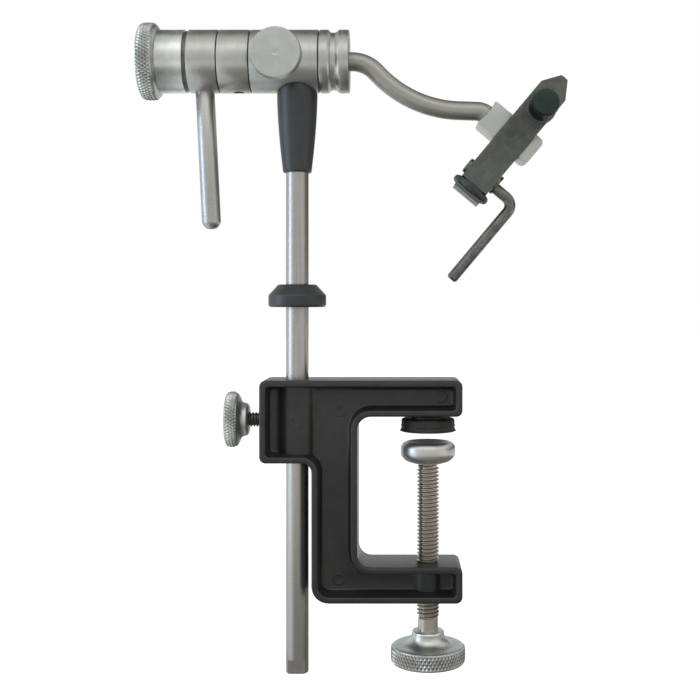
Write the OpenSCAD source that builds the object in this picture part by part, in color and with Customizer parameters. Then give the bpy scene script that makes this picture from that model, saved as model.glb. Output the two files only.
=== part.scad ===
// Rotary fly tying vise with a table clamp, in millimetres.
// The origin is the centre of the clamp pad's lower face, which rests on the table top.
// +Z is up, +X points from the crank to the jaws, and -Y is the side of the lock knob.

/* [Clamp frame] */
// From the clamp screw's axis to the post's axis
post_offset = 55.1; // [52:0.1:60]
// Depth of the frame, front to back
frame_depth = 25.4; // [23:0.1:30]
// Clear height between the two arms
throat_h = 61.9; // [52:0.1:75]
// Height of the upper arm
upper_arm_h = 14.9; // [13:0.1:18]
// Height of the lower arm
lower_arm_h = 14.9; // [13:0.1:18]
// Width of the upright that joins the arms
spine_w = 18.9; // [17:0.1:20]
// From the clamp screw's axis to the upright
throat_reach = 29.4; // [26:0.1:31]
// From the clamp screw's axis to the ends of the arms
arm_over = 13.9; // [12.5:0.1:16]
// From the post's axis to the outer side of the post block
block_over = 14.7; // [13:0.1:18]
// How far the post block hangs below the upper arm
block_drop = 19.2; // [16:0.1:24]
// Width of the raised rim round both faces
rim_w = 3.4; // [2.6:0.1:4]
// Thickness of the web between the two recesses
web_t = 9; // [8:0.1:12]
// Radius of the two inner corners of the throat
throat_r = 5.5; // [3:0.1:8]
// Radius of the outer corner at the foot of the upright
heel_r = 7; // [4:0.1:9]
// Radius of the other outer corners
corner_r = 2.6; // [1:0.1:4]
// Diameter of the boss round the post
post_boss_d = 17; // [15:0.1:19]
// Diameter of the boss round the clamp screw
screw_boss_d = 13.2; // [12:0.1:16]
// Diameter of the step that carries the pad
pad_step_d = 15.5; // [13:0.1:20]
// Height of the step that carries the pad
pad_step_h = 1.7; // [1:0.1:3]

/* [Clamp pad] */
// Diameter of the rubber pad
pad_d = 22.5; // [20:0.1:24]
// Thickness of the rubber pad
pad_h = 5.4; // [4:0.1:7]
// How far the pad's lower lip flares
pad_lip = 0.6; // [0.2:0.1:1]

/* [Clamp screw] */
// Outer diameter of the clamp screw's thread
screw_d = 9.4; // [8:0.1:10]
// Pitch of the clamp screw's thread
screw_pitch = 1.5875; // [1.25:0.0125:2]
// Length of the thread
screw_thread_l = 64; // [60:0.1:80]
// Diameter of the plain end below the thread
shank_d = 8.4; // [6:0.1:8.6]
// Length of the plain end between the thread and the knob
shank_l = 5.5; // [3:0.1:10]
// Gap between the pad and the pressure head as the vise is shown
table_gap = 4.3; // [2:0.1:12]
// Diameter of the pressure head
head_d = 23.1; // [20:0.1:25]
// Height of the pressure head
head_h = 9.7; // [8:0.1:11]
// Diameter of the dish in the pressure head's top
dish_d = 14.1; // [12:0.1:15.5]
// Depth of the dish
dish_depth = 2.2; // [1.5:0.1:3]
// Diameter of the well at the bottom of the dish
well_d = 8.6; // [8:0.1:9.5]
// Depth of the well at the bottom of the dish
well_depth = 2.2; // [1.5:0.1:3]
// Diameter of the screw's pivot inside the pressure head
pivot_d = 6.2; // [5:0.1:7]

/* [Clamp knob] */
// Diameter of the clamp knob
clamp_knob_d = 31.5; // [26:0.1:38]
// Height of the clamp knob's knurled rim
clamp_knob_rim = 7.7; // [5:0.1:9]
// Diameter of the clamp knob's hub
clamp_hub_d = 15; // [12:0.1:18]
// Height of the clamp knob's hub
clamp_hub_h = 5.9; // [4:0.1:9]

/* [Post] */
// Diameter of the post
post_d = 9.525; // [8:0.005:10]
// Length of the post below the clamp frame's post block
post_tail = 89.4; // [60:0.1:110]
// Height of the rotary axis above the table
axis_h = 155.7; // [140:0.1:170]
// Height of the flat milled at the post's foot
foot_flat_h = 6; // [3:0.1:10]
// Depth of the flat milled at the post's foot
foot_flat_depth = 1.6; // [0.5:0.1:2.5]
// Height of the stop collar
stop_h = 9.5; // [7:0.1:12]
// Diameter of the stop collar
stop_d = 24.3; // [20:0.1:28]
// Diameter of the stop collar's top
stop_top_d = 16; // [14:0.1:19]
// Height of the stop collar's straight band
stop_band = 5; // [3:0.1:6]
// Gap between the clamp frame and the stop collar as the vise is shown
stop_gap = 30.2; // [10:0.1:40]
// Length of the tapered sleeve under the drum, to the rotary axis
sleeve_l = 46.9; // [35:0.1:55]
// Diameter of the sleeve's lower end
sleeve_foot_d = 12; // [11.5:0.1:14]
// Diameter of the sleeve's upper end
sleeve_top_d = 17; // [15:0.1:18]
// Length of the sleeve's taper
sleeve_taper = 22; // [15:0.1:28]

/* [Post lock screw] */
// Diameter of the thumbscrew's thread
thumb_d = 6.35; // [5:0.05:7]
// Pitch of the thumbscrew's and the lock screw's threads
fine_pitch = 1.27; // [1:0.01:1.5]
// Gap between the frame and the thumbscrew's hub
thumb_gap = 5.5; // [3:0.1:9]
// Diameter of the thumbscrew's hub
thumb_hub_d = 13.8; // [11:0.1:16]
// Width of the thumbscrew's hub
thumb_hub_w = 3.8; // [2.5:0.1:6]
// Diameter of the thumbscrew's knurled disc
thumb_knob_d = 23.6; // [20:0.1:28]
// Width of the thumbscrew's knurled disc
thumb_knob_w = 5.9; // [4.5:0.1:8]
// Length of the soft tip that presses on the post
tip_l = 3; // [2:0.1:4]

/* [Drum] */
// Outer diameter of the drum's rings
drum_d = 26.3; // [24:0.1:28]
// Width of the housing
housing_w = 28.2; // [26:0.1:34]
// From the post's axis to the housing's front face
housing_over = 9.2; // [8.5:0.1:11]
// Width of the front collar
front_collar_w = 12.35; // [11:0.05:16]
// Width of the rear ring
rear_ring_w = 12.85; // [10:0.05:16]
// Width of the crank ring
crank_ring_w = 12.25; // [10.5:0.05:16]
// Thickness of the thin washers in the seams
seam_washer_t = 0.4; // [0.3:0.05:0.8]
// Thickness of the dark washer behind the crank ring
drag_washer_t = 1.6; // [1:0.05:2.5]
// Width of the smooth collar of the rear knob
knob_collar_w = 11.3; // [8:0.1:14]
// Diameter of the rear knob's knurled rim
rear_knob_d = 32.3; // [29:0.1:36]
// Lean of the rear knob's screw hole from the upright, towards the lock knob
knob_hole_lean = 18; // [0:1:25]
// Width of the rear knob's knurled rim
rear_rim_w = 7.7; // [6:0.1:10]
// Diameter of the spindle in its bushings
spindle_d = 12; // [11.5:0.1:13]
// Diameter of the spindle behind the housing
spindle_rear_d = 10; // [9:0.1:10.5]
// Outer diameter of the bushings
bushing_d = 16; // [15.5:0.1:17]
// Length of each bushing
bushing_l = 7.6; // [6:0.1:8]
// Width of the groove in the front collar
collar_groove_w = 4.4; // [3:0.1:5]
// Depth of the groove in the front collar
collar_groove_depth = 1.2; // [0.8:0.1:1.8]
// From the collar's front face to the groove
collar_lip = 4.2; // [2:0.1:5]
// Diameter of the set screws in the drum's rings
grub_d = 4.6; // [3.5:0.1:5]

/* [Rotary lock] */
// Gap between the rear bushing and the lock screw's plug
lock_gap = 0.8; // [0.5:0.1:3]
// Diameter of the lock knob
lock_knob_d = 21.3; // [18:0.1:24]
// Thickness of the lock knob
lock_knob_t = 5.4; // [4:0.1:8]
// Length of the plug that presses on the spindle
plug_l = 4.5; // [3.5:0.1:5]

/* [Crank] */
// Diameter of the crank rod
crank_rod_d = 7.94; // [6:0.01:8.5]
// Length of the crank rod outside its ring
crank_rod_l = 57.6; // [45:0.1:70]
// Lean of the crank rod towards the jaws, in degrees
crank_lean = 2.8; // [0:0.1:4]

/* [Stem] */
// Diameter of the bent stem
stem_d = 7.9; // [7:0.1:8]
// Straight length in front of the collar
stem_lead = 1; // [0.5:0.1:4]
// Radius of the first bend
stem_r1 = 14; // [11:0.1:18]
// Turn of the first bend, downwards, in degrees
stem_turn1 = 46; // [35:1:50]
// Straight length after the first bend
stem_run1 = 2; // [1:0.1:6]
// Radius of the long bend
stem_r2 = 49; // [40:0.1:60]
// Turn of the long bend, upwards, in degrees
stem_turn2 = 44; // [34:1:50]
// Straight length after the long bend
stem_run2 = 8; // [4:0.1:12]
// Radius of the last bend
stem_r3 = 6.5; // [5:0.1:9]
// Turn of the last bend, downwards, in degrees
stem_turn3 = 38; // [30:1:44]
// From the last bend to the middle of the jaws
stem_run3 = 15; // [14.5:0.1:18]

/* [Jaw holder] */
// Size of the holder along the jaws
holder_l = 12; // [11:0.1:15]
// From the middle of the jaws to the holder's stem side
holder_stem_side = 16.1; // [15.5:0.1:19]
// From the middle of the jaws to the holder's far side
holder_far_side = 11; // [9.5:0.1:14]
// From the stem's axis to the holder's front face
holder_front = 5.5; // [5:0.1:6]
// From the stem's axis to the holder's back face
holder_back = 10; // [9.5:0.1:13]
// Radius of the holder's far corners
holder_r = 2.4; // [1:0.1:3.5]
// Radius of the holder's corners on the stem's side
holder_near_r = 1.6; // [0.5:0.1:2.5]
// Radius of the hollow in the holder's stem side
scoop_r = 16; // [12:0.1:24]
// Depth of the hollow in the holder's stem side
scoop_depth = 1.3; // [0.5:0.1:1.6]

/* [Jaws] */
// Width of the jaws
jaw_w = 13; // [12:0.1:14]
// Thickness of each jaw
jaw_t = 6.5; // [6:0.1:8]
// From the holder's middle to the tip of the jaws
jaw_front_l = 33; // [31:0.1:40]
// From the holder's middle to the rear end of the jaws
jaw_rear_l = 32; // [30.5:0.1:38]
// Length of the nose's taper
nose_l = 8; // [5:0.1:9]
// Width of the tip
tip_w = 3.4; // [2.5:0.1:5]
// Thickness of each jaw at the tip
tip_t = 1.3; // [0.8:0.1:2]
// Length of the slope on each nose
nose_slope_l = 9.2; // [7:0.1:9.5]
// Angle at which each half of that slope falls away from the ridge between them
nose_ridge_angle = 16; // [4:1:20]
// From the tip of the jaws back to the adjusting screw
adjust_back = 17.5; // [17:0.1:20]
// Diameter of the adjusting screw
adjust_d = 4.8; // [4:0.1:5.5]
// From the middle of the jaws' width to the adjusting screw
adjust_off = 1; // [0:0.1:1.2]
// Diameter of the round boss under the adjusting knob
adjust_boss_d = 12.4; // [11.5:0.1:13]
// Height of the round boss under the adjusting knob
adjust_boss_h = 0.8; // [0.5:0.1:2]
// Diameter of the adjusting knob
adjust_knob_d = 11.4; // [9:0.1:13]
// Height of the adjusting knob
adjust_knob_h = 14.5; // [10:0.1:16]
// Diameter of the two screws that hold the rear jaw
jaw_screw_d = 3; // [2.5:0.1:3.5]

/* [Cam lever] */
// From the tip of the jaws back to the cam lever's axis
cam_back = 54.4; // [52:0.1:56]
// Diameter of the cam lever's rod
cam_d = 4.7; // [4.2:0.1:5.2]
// How far the cam lets the jaw's tail fall over its quarter turn
cam_fall = 1.6; // [1:0.1:1.7]
// Diameter of the cam lever's head
cam_head_d = 6.9; // [6:0.1:8]
// Height of the cam lever's head
cam_head_h = 1.5; // [1:0.1:2.5]
// Diameter of the cam lever's shoulder
cam_shoulder_d = 8.8; // [7.5:0.1:9]
// From the cam lever's axis to the middle of its shoulder
cam_shoulder_off = 1.3; // [0:0.1:1.3]
// Height of the cam lever's shoulder
cam_shoulder_h = 1.2; // [0.8:0.1:2]
// From the middle of the jaws to the lever's arm
lever_out = 18; // [16:0.1:24]
// Radius of the bend in the cam lever
lever_r = 4.5; // [3.5:0.1:6]
// Length of the lever's arm
lever_l = 41.5; // [30:0.1:55]

/* [O-ring] */
// From the tip of the jaws back to the O-ring
ring_back = 61.5; // [60.6:0.1:62]
// Thickness of the O-ring
ring_t = 3.4; // [2.8:0.1:3.6]
// Diameter of the seat under the O-ring
ring_seat_d = 10.8; // [10.4:0.1:11.4]

/* [Hidden] */
$fn = 96;

// Fits and small details
run_clear = 0.05;       // radial gap of a shaft in its bore
face_clear = 0.05;      // gap between a turning face and its neighbour
part_clear = 0.3;       // gap between neighbours that pass each other
over = 1;               // how far a cut runs past the face it opens
thread_share = 0.09;    // depth of a thread as a share of its diameter
edge = 0.3;             // chamfer of the drum's rings
knob_edge = 1;          // chamfer of the knurled rims
arc_steps = 8;          // straight pieces of a rounded corner
stem_sides = 24;        // sides of the bent stem
stem_step = 5;          // degrees between its rings
dimple_d = 3;           // centre dimple in a knob's face
dimple_depth = 0.4;     // its depth
grub_len = 5;           // length of a set screw
socket_share = 0.5;     // width of a set screw's socket as a share of its diameter
small_grub_d = 3.45;    // diameter of the set screws that hold the stem and the stop collar
ring_hole_share = 0.6;  // place of the rear ring's hole along its width
rod_grip_share = 0.75;  // how much of its ring's wall the crank rod is pressed into
land_share = 0.7;       // from the adjusting screw to the jaws' contact face, in screw diameters
// Start, crest and end of one turn of a thread, as shares of the pitch
thread_shares = [0.125, 0.4375, 0.5625, 0.875];
// The pressure head's foot as a share of its diameter, and its widest band, lip and
// rounding as shares of its height
head_foot_share = 0.3;
head_band_share = 0.33;
head_lip = 0.4;
head_round_share = 0.32;

// Colours
black_casting = [0.06, 0.06, 0.06];
black_plastic = [0.08, 0.08, 0.09];
black_oxide = [0.13, 0.15, 0.14];
rubber = [0.05, 0.05, 0.05];
steel = [0.68, 0.67, 0.64];
stem_steel = [0.56, 0.53, 0.49];
blasted = [0.66, 0.66, 0.65];
brass = [0.72, 0.58, 0.3];
bronze = [0.6, 0.44, 0.28];

// Places of the clamp
arm_under_z = pad_h + pad_step_h;
frame_top_z = arm_under_z + upper_arm_h;
throat_floor_z = arm_under_z - throat_h;
frame_bottom_z = throat_floor_z - lower_arm_h;
block_bottom_z = arm_under_z - block_drop;
post_x = -post_offset;
block_left_x = post_x - block_over;
spine_right_x = -throat_reach;
spine_left_x = spine_right_x - spine_w;
head_top_z = -table_gap;
head_bottom_z = head_top_z - head_h;
thread_top_z = head_bottom_z - part_clear;
thread_bottom_z = thread_top_z - screw_thread_l;
hub_top_z = thread_bottom_z - shank_l;
thumb_z = (frame_top_z + block_bottom_z) / 2;
thumb_hub_x = block_left_x - thumb_gap;
inner_r = corner_r + throat_r / 2;

// Places of the drum, from the front backwards
housing_front_x = post_x + housing_over;
housing_rear_x = housing_front_x - housing_w;
collar_rear_x = housing_front_x + seam_washer_t + face_clear;
collar_front_x = collar_rear_x + front_collar_w;
ring_front_x = housing_rear_x - seam_washer_t - face_clear;
ring_rear_x = ring_front_x - rear_ring_w;
crank_front_x = ring_rear_x - seam_washer_t - face_clear;
crank_rear_x = crank_front_x - crank_ring_w;
knob_front_x = crank_rear_x - drag_washer_t - face_clear;
knob_rim_x = knob_front_x - knob_collar_w;
knob_rear_x = knob_rim_x - rear_rim_w;
lock_x = housing_rear_x + bushing_l + lock_gap + thumb_d / 2;
stem_depth = 2 * front_collar_w;
spindle_front_x = collar_front_x - collar_lip;
stem_in_x = collar_front_x - stem_depth;
grub_x = (collar_rear_x + collar_front_x - collar_lip - collar_groove_w) / 2;
washer_d = drum_d - 4 * edge;
post_top_z = axis_h - bushing_d / 2 - 2 * part_clear;
plug_tip_y = -spindle_d / 2 - run_clear;
lock_back_y = -drum_d / 2 - part_clear;
lock_face_y = lock_back_y - lock_knob_t;

// Places of the jaws, in the holder's own frame: x across, z towards the tip
adjust_z = jaw_front_l - adjust_back;
cam_z = jaw_front_l - cam_back;
ring_z = jaw_front_l - ring_back;
jaw_gap = 0.2;
cam_drop = cam_fall / (PI / 2);
cam_reach = sqrt(pow(cam_d / 2, 2) - pow(cam_drop, 2));
tail_y = cam_reach + run_clear;
land_z = adjust_z - adjust_d * land_share;
boss_face_y = jaw_t + adjust_boss_h;
adjust_back_y = boss_face_y + part_clear;

// Heading is the angle below the horizontal, and a place is [x, z]
function ahead(p, heading, run) = p + run * [cos(heading), -sin(heading)];
function past_bend(p, heading, r, turn) =
    p + sign(turn) * r * [sin(heading + turn) - sin(heading), cos(heading + turn) - cos(heading)];
stem_p0 = [collar_front_x + stem_lead, axis_h];
stem_p1 = past_bend(stem_p0, 0, stem_r1, stem_turn1);
stem_p2 = ahead(stem_p1, stem_turn1, stem_run1);
stem_p3 = past_bend(stem_p2, stem_turn1, stem_r2, -stem_turn2);
stem_heading = stem_turn1 - stem_turn2;
stem_p4 = ahead(stem_p3, stem_heading, stem_run2);
stem_p5 = past_bend(stem_p4, stem_heading, stem_r3, stem_turn3);
jaw_tilt = stem_heading + stem_turn3;
jaw_place = ahead(stem_p5, jaw_tilt, stem_run3);
stem_stop = stem_run3 - jaw_w / 2 - 2 * part_clear;

// Points of a corner of radius r at b, between the straight lines to a and c
function flat(p) = [p[0], p[1]];
function unit(v) = v / norm(v);
function short_turn(t) = t > 180 ? t - 360 : t < -180 ? t + 360 : t;
function corner(a, b, c, r) =
    r == 0 ? [b] :
    let (u = unit(a - b), v = unit(c - b), half = acos(u * v) / 2)
    let (mid = b + unit(u + v) * r / sin(half))
    let (from = b + u * r / tan(half) - mid, to = b + v * r / tan(half) - mid)
    let (start = atan2(from[1], from[0]), turn = short_turn(atan2(to[1], to[0]) - start))
    [for (i = [0:arc_steps]) mid + r * [cos(start + turn * i / arc_steps),
                                        sin(start + turn * i / arc_steps)]];
// An outline whose corners are given as [x, y, radius]
function rounded(list) = [
    for (i = [0:len(list) - 1])
        each corner(flat(list[(i + len(list) - 1) % len(list)]), flat(list[i]),
                    flat(list[(i + 1) % len(list)]), list[i][2])
];

// The outline lies in X and Z and is extruded along Y, from y0 to y1
module slab(points, y0, y1) {
    translate([0, y1, 0]) rotate([90, 0, 0]) linear_extrude(y1 - y0) polygon(points);
}

// A turned shape whose outline is [radius, height], with its axis along Z
module turned(points) {
    rotate_extrude() polygon(points);
}

// Sets a turned shape on the rotary axis, with its height along +X from x
module on_axis(x) {
    translate([x, 0, axis_h]) rotate([0, 90, 0]) children();
}

// Sets a piece in the holder's own frame
module at_jaws() {
    translate([jaw_place[0], 0, jaw_place[1]]) rotate([0, jaw_tilt, 0]) children();
}

// A ring with chamfered outer edges
module ring(d, bore, w, chamfer) {
    turned([
        [bore / 2, 0], [d / 2 - chamfer, 0], [d / 2, chamfer],
        [d / 2, w - chamfer], [d / 2 - chamfer, w], [bore / 2, w]
    ]);
}

// A threaded rod: a core with one ring for each pitch
module threaded_rod(d, l, pitch) {
    depth = d * thread_share;
    turns = floor(l / pitch);
    turned(concat(
        [[0, 0], [d / 2 - depth, 0]],
        [for (i = [0:turns - 1]) each [
            [d / 2 - depth, (i + thread_shares[0]) * pitch], [d / 2, (i + thread_shares[1]) * pitch],
            [d / 2, (i + thread_shares[2]) * pitch], [d / 2 - depth, (i + thread_shares[3]) * pitch]
        ]],
        [[d / 2 - depth, l], [0, l]]
    ));
}

// A set screw with a six-sided socket in its upper end
module set_screw(d, l) {
    difference() {
        cylinder(d = d, h = l);
        translate([0, 0, l / 2]) cylinder(d = d * socket_share, h = l, $fn = 6);
    }
}

// A knurled knob's blank: the rim, with a dimple in its face
module knob_blank(d, w, chamfer) {
    difference() {
        ring(d, 0, w, chamfer);
        translate([0, 0, -over]) cylinder(d = dimple_d, h = over + dimple_depth);
    }
}

// The clamp frame's outline, drawn in by inset on every side
function frame_outline(inset, outer, throat) = rounded([
    [block_left_x + inset, frame_top_z - inset, outer],
    [arm_over - inset, frame_top_z - inset, outer],
    [arm_over - inset, arm_under_z + inset, outer],
    [spine_right_x - inset, arm_under_z + inset, throat],
    [spine_right_x - inset, throat_floor_z - inset, throat],
    [arm_over - inset, throat_floor_z - inset, outer],
    [arm_over - inset, frame_bottom_z + inset, outer],
    [spine_left_x + inset, frame_bottom_z + inset, inset > 0 ? heel_r - inset : heel_r],
    [spine_left_x + inset, block_bottom_z + inset, inset > 0 ? inner_r + inset : inner_r],
    [block_left_x + inset, block_bottom_z + inset, outer]
]);

module clamp_frame() color(black_casting) {
    screw_bore = screw_d + 2 * run_clear;
    difference() {
        union() {
            slab(frame_outline(0, corner_r, throat_r), -web_t / 2, web_t / 2);
            difference() {
                slab(frame_outline(0, corner_r, throat_r), -frame_depth / 2, frame_depth / 2);
                slab(frame_outline(rim_w, corner_r / 2, throat_r + rim_w),
                     -frame_depth / 2 - over, frame_depth / 2 + over);
            }
            translate([post_x, 0, block_bottom_z + rim_w / 2])
                cylinder(d = post_boss_d, h = frame_top_z - block_bottom_z - rim_w);
            translate([0, 0, frame_bottom_z + rim_w / 2])
                cylinder(d = screw_boss_d, h = lower_arm_h - rim_w);
            translate([0, 0, pad_h]) cylinder(d = pad_step_d, h = pad_step_h + rim_w / 2);
        }
        translate([post_x, 0, block_bottom_z - inner_r])
            cylinder(d = post_d + 2 * run_clear, h = frame_top_z - block_bottom_z + inner_r + over);
        translate([0, 0, frame_bottom_z - over])
            cylinder(d = screw_bore, h = lower_arm_h + 2 * over);
        translate([block_left_x - over, 0, thumb_z]) rotate([0, 90, 0])
            cylinder(d = thumb_d + 2 * run_clear, h = block_over + over);
    }
}

module clamp_pad() color(rubber) {
    turned([
        [0, 0], [pad_d / 2, 0], [pad_d / 2 + pad_lip, pad_lip],
        [pad_d / 2 + pad_lip, 2 * pad_lip], [pad_d / 2, pad_h / 2], [pad_d / 2, pad_h], [0, pad_h]
    ]);
}

// The bore, the round outside, the dish and its well, with the lower face at z = 0
module pressure_head() color(steel) {
    bore = pivot_d + 2 * run_clear;
    round_r = head_h * head_round_share;
    dish_edge = dish_d / 2 + dish_depth / 2;
    translate([0, 0, head_bottom_z]) turned(rounded([
        [bore / 2, 0, 0],
        [head_d * head_foot_share, 0, 0],
        [head_d / 2, head_h * head_band_share, round_r],
        [head_d / 2, head_h, min(round_r, head_d / 2 - dish_edge - head_lip)],
        [dish_edge, head_h, dish_depth / 4],
        [dish_d / 2 - dish_depth / 2, head_h - dish_depth, 0],
        [well_d / 2, head_h - dish_depth, 0],
        [well_d / 2, head_h - dish_depth - well_depth, 0],
        [bore / 2, head_h - dish_depth - well_depth, 0]
    ]));
}

module clamp_screw() color(steel) {
    rivet_h = well_depth / 2;
    seat_z = head_top_z - dish_depth - well_depth;
    translate([0, 0, thread_bottom_z]) threaded_rod(screw_d, screw_thread_l, screw_pitch);
    translate([0, 0, thread_top_z])
        cylinder(d = pivot_d, h = seat_z + face_clear + rivet_h / 2 - thread_top_z);
    translate([0, 0, seat_z + face_clear])
        cylinder(d = (pivot_d + well_d) / 2, h = rivet_h);
    translate([0, 0, hub_top_z - clamp_hub_h])
        cylinder(d = shank_d, h = clamp_hub_h + shank_l + rivet_h);
}

module clamp_knob() color(steel) {
    hub_r = clamp_hub_d / 2;
    knob_r = clamp_knob_d / 2;
    cove = clamp_hub_h / 2;
    translate([0, 0, hub_top_z]) difference() {
        rotate([180, 0, 0]) turned(rounded([
            [0, 0, 0],
            [hub_r, 0, knob_edge / 2],
            [hub_r, clamp_hub_h, cove],
            [knob_r, clamp_hub_h, knob_edge],
            [knob_r, clamp_hub_h + clamp_knob_rim, knob_edge],
            [0, clamp_hub_h + clamp_knob_rim, 0]
        ]));
        translate([0, 0, -clamp_hub_h]) cylinder(d = shank_d, h = clamp_hub_h + over);
        translate([0, 0, -clamp_hub_h - clamp_knob_rim - over])
            cylinder(d = dimple_d, h = over + dimple_depth);
    }
}

module post_thumbscrew_tip() color(brass) {
    translate([post_x - post_d / 2 - face_clear - tip_l, 0, thumb_z]) rotate([0, 90, 0])
        cylinder(d = thumb_d, h = tip_l);
}

module post_thumbscrew() color(black_oxide) {
    inner_x = post_x - post_d / 2 - 2 * face_clear - tip_l;
    outer_x = thumb_hub_x - thumb_hub_w - thumb_knob_w / 2;
    translate([outer_x, 0, thumb_z]) rotate([0, 90, 0])
        threaded_rod(thumb_d, inner_x - outer_x, fine_pitch);
}

module post_thumbscrew_knob() color(steel) {
    translate([thumb_hub_x - thumb_hub_w - thumb_knob_w, 0, thumb_z]) rotate([0, 90, 0])
    difference() {
        union() {
            knob_blank(thumb_knob_d, thumb_knob_w, knob_edge);
            translate([0, 0, thumb_knob_w / 2])
                ring(thumb_hub_d, 0, thumb_knob_w / 2 + thumb_hub_w, knob_edge);
        }
        translate([0, 0, thumb_knob_w / 2])
            cylinder(d = thumb_d, h = thumb_knob_w + thumb_hub_w);
    }
}

module stop_collar() color(black_plastic) {
    bore = post_d + 2 * run_clear;
    translate([post_x, 0, frame_top_z + stop_gap]) difference() {
        turned(rounded([
            [bore / 2, 0, 0],
            [stop_d / 2, 0, knob_edge],
            [stop_d / 2, stop_band, knob_edge],
            [stop_top_d / 2, stop_h, knob_edge / 2],
            [bore / 2, stop_h, 0]
        ]));
        translate([0, 0, stop_band / 2]) rotate([-90, 0, 0])
            cylinder(d = small_grub_d, h = stop_d);
    }
}

module stop_collar_set_screw() color(black_oxide) {
    translate([post_x, post_d / 2 + face_clear, frame_top_z + stop_gap + stop_band / 2])
        rotate([-90, 0, 0]) set_screw(small_grub_d, grub_len);
}

module post() color(steel) {
    foot_z = block_bottom_z - post_tail;
    r = post_d / 2;
    difference() {
        translate([post_x, 0, foot_z]) turned([
            [0, 0], [r - edge, 0], [r, edge], [r, post_top_z - foot_z - edge],
            [r - edge, post_top_z - foot_z], [0, post_top_z - foot_z]
        ]);
        translate([post_x - post_d, foot_flat_depth - post_d / 2 - post_d, foot_z - over])
            cube([2 * post_d, post_d, foot_flat_h + over]);
    }
}

module post_sleeve() color(black_plastic) {
    foot_z = axis_h - sleeve_l;
    bore = post_d + 2 * run_clear;
    difference() {
        translate([post_x, 0, foot_z]) turned([
            [bore / 2, 0], [sleeve_foot_d / 2 - edge, 0], [sleeve_foot_d / 2, edge],
            [sleeve_top_d / 2, sleeve_taper], [sleeve_top_d / 2, sleeve_l - drum_d / 4],
            [bore / 2, sleeve_l - drum_d / 4]
        ]);
        on_axis(housing_rear_x) cylinder(d = drum_d + 2 * run_clear, h = housing_w);
    }
}

module rotary_housing() color(steel) {
    difference() {
        on_axis(housing_rear_x) ring(drum_d, bushing_d, housing_w, edge);
        translate([post_x, 0, axis_h - drum_d]) cylinder(d = post_d, h = post_top_z + drum_d - axis_h);
        translate([lock_x, 0, axis_h]) rotate([90, 0, 0])
            cylinder(d = thumb_d + 2 * run_clear, h = drum_d);
    }
}

module bushing(x) {
    on_axis(x) ring(bushing_d, spindle_d + 2 * run_clear, bushing_l, edge);
}
module front_bushing() color(bronze) bushing(housing_front_x - bushing_l);
module rear_bushing() color(bronze) bushing(housing_rear_x);

module lock_plug() color(brass) {
    translate([lock_x, plug_tip_y, axis_h]) rotate([90, 0, 0]) cylinder(d = thumb_d, h = plug_l);
}

module lock_screw() color(steel) {
    from_y = plug_tip_y - plug_l - face_clear;
    translate([lock_x, from_y, axis_h]) rotate([90, 0, 0])
        threaded_rod(thumb_d, from_y - lock_back_y + lock_knob_t / 2, fine_pitch);
}

module lock_knob() color(steel) {
    translate([lock_x, lock_face_y, axis_h]) rotate([-90, 0, 0]) difference() {
        knob_blank(lock_knob_d, lock_knob_t, knob_edge / 2);
        translate([0, 0, lock_knob_t / 2]) cylinder(d = thumb_d, h = lock_knob_t);
    }
}

module spindle() color(steel) {
    rear_l = ring_front_x - knob_rim_x;
    front_l = spindle_front_x - ring_front_x;
    difference() {
        union() {
            on_axis(knob_rim_x) cylinder(d = spindle_rear_d, h = rear_l + edge);
            on_axis(ring_front_x) cylinder(d = spindle_d, h = front_l);
        }
        on_axis(stem_in_x - over) cylinder(d = stem_d, h = stem_depth);
        translate([grub_x, 0, axis_h]) rotate([-90, 0, 0]) cylinder(d = small_grub_d, h = drum_d);
    }
}

module front_collar() color(steel) {
    r = drum_d / 2;
    lip = front_collar_w - collar_lip;
    slope = collar_groove_depth / 2;
    difference() {
        on_axis(collar_rear_x) turned([
            [0, 0], [r - edge, 0], [r, edge], [r, lip - collar_groove_w],
            [r - collar_groove_depth, lip - collar_groove_w + slope],
            [r - collar_groove_depth, lip - slope], [r, lip],
            [r, front_collar_w - edge], [r - edge, front_collar_w], [0, front_collar_w]
        ]);
        on_axis(collar_rear_x - over) cylinder(d = spindle_d, h = lip + over);
        on_axis(collar_rear_x) cylinder(d = stem_d, h = front_collar_w + over);
        translate([grub_x, 0, axis_h]) rotate([-90, 0, 0]) cylinder(d = small_grub_d, h = drum_d);
    }
}

// A washer with running clearance on its shaft
module washer(x, d, bore, t) {
    on_axis(x) difference() {
        cylinder(d = d, h = t);
        translate([0, 0, -over]) cylinder(d = bore + 2 * run_clear, h = t + 2 * over);
    }
}
module front_thrust_washer() color(black_plastic)
    washer(collar_rear_x - seam_washer_t, washer_d, spindle_d, seam_washer_t);
module rear_thrust_washer() color(black_plastic)
    washer(ring_front_x, washer_d, spindle_d, seam_washer_t);
module crank_washer() color(black_plastic)
    washer(ring_rear_x - seam_washer_t, washer_d, spindle_rear_d, seam_washer_t);
module drag_washer() color(black_plastic)
    washer(knob_front_x, washer_d, spindle_rear_d, drag_washer_t);

// A bend of round bar from p, turning down for a positive turn and up for a negative one
module bend(p, heading, r, turn, d) {
    side = sign(turn);
    translate([p[0], 0, p[1]]) rotate([0, heading, 0]) translate([0, 0, -side * r])
        rotate([side * 90, 0, 0]) rotate([0, 0, 90 - abs(turn)])
            rotate_extrude(angle = abs(turn)) translate([r, 0]) circle(d = d);
}

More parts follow.
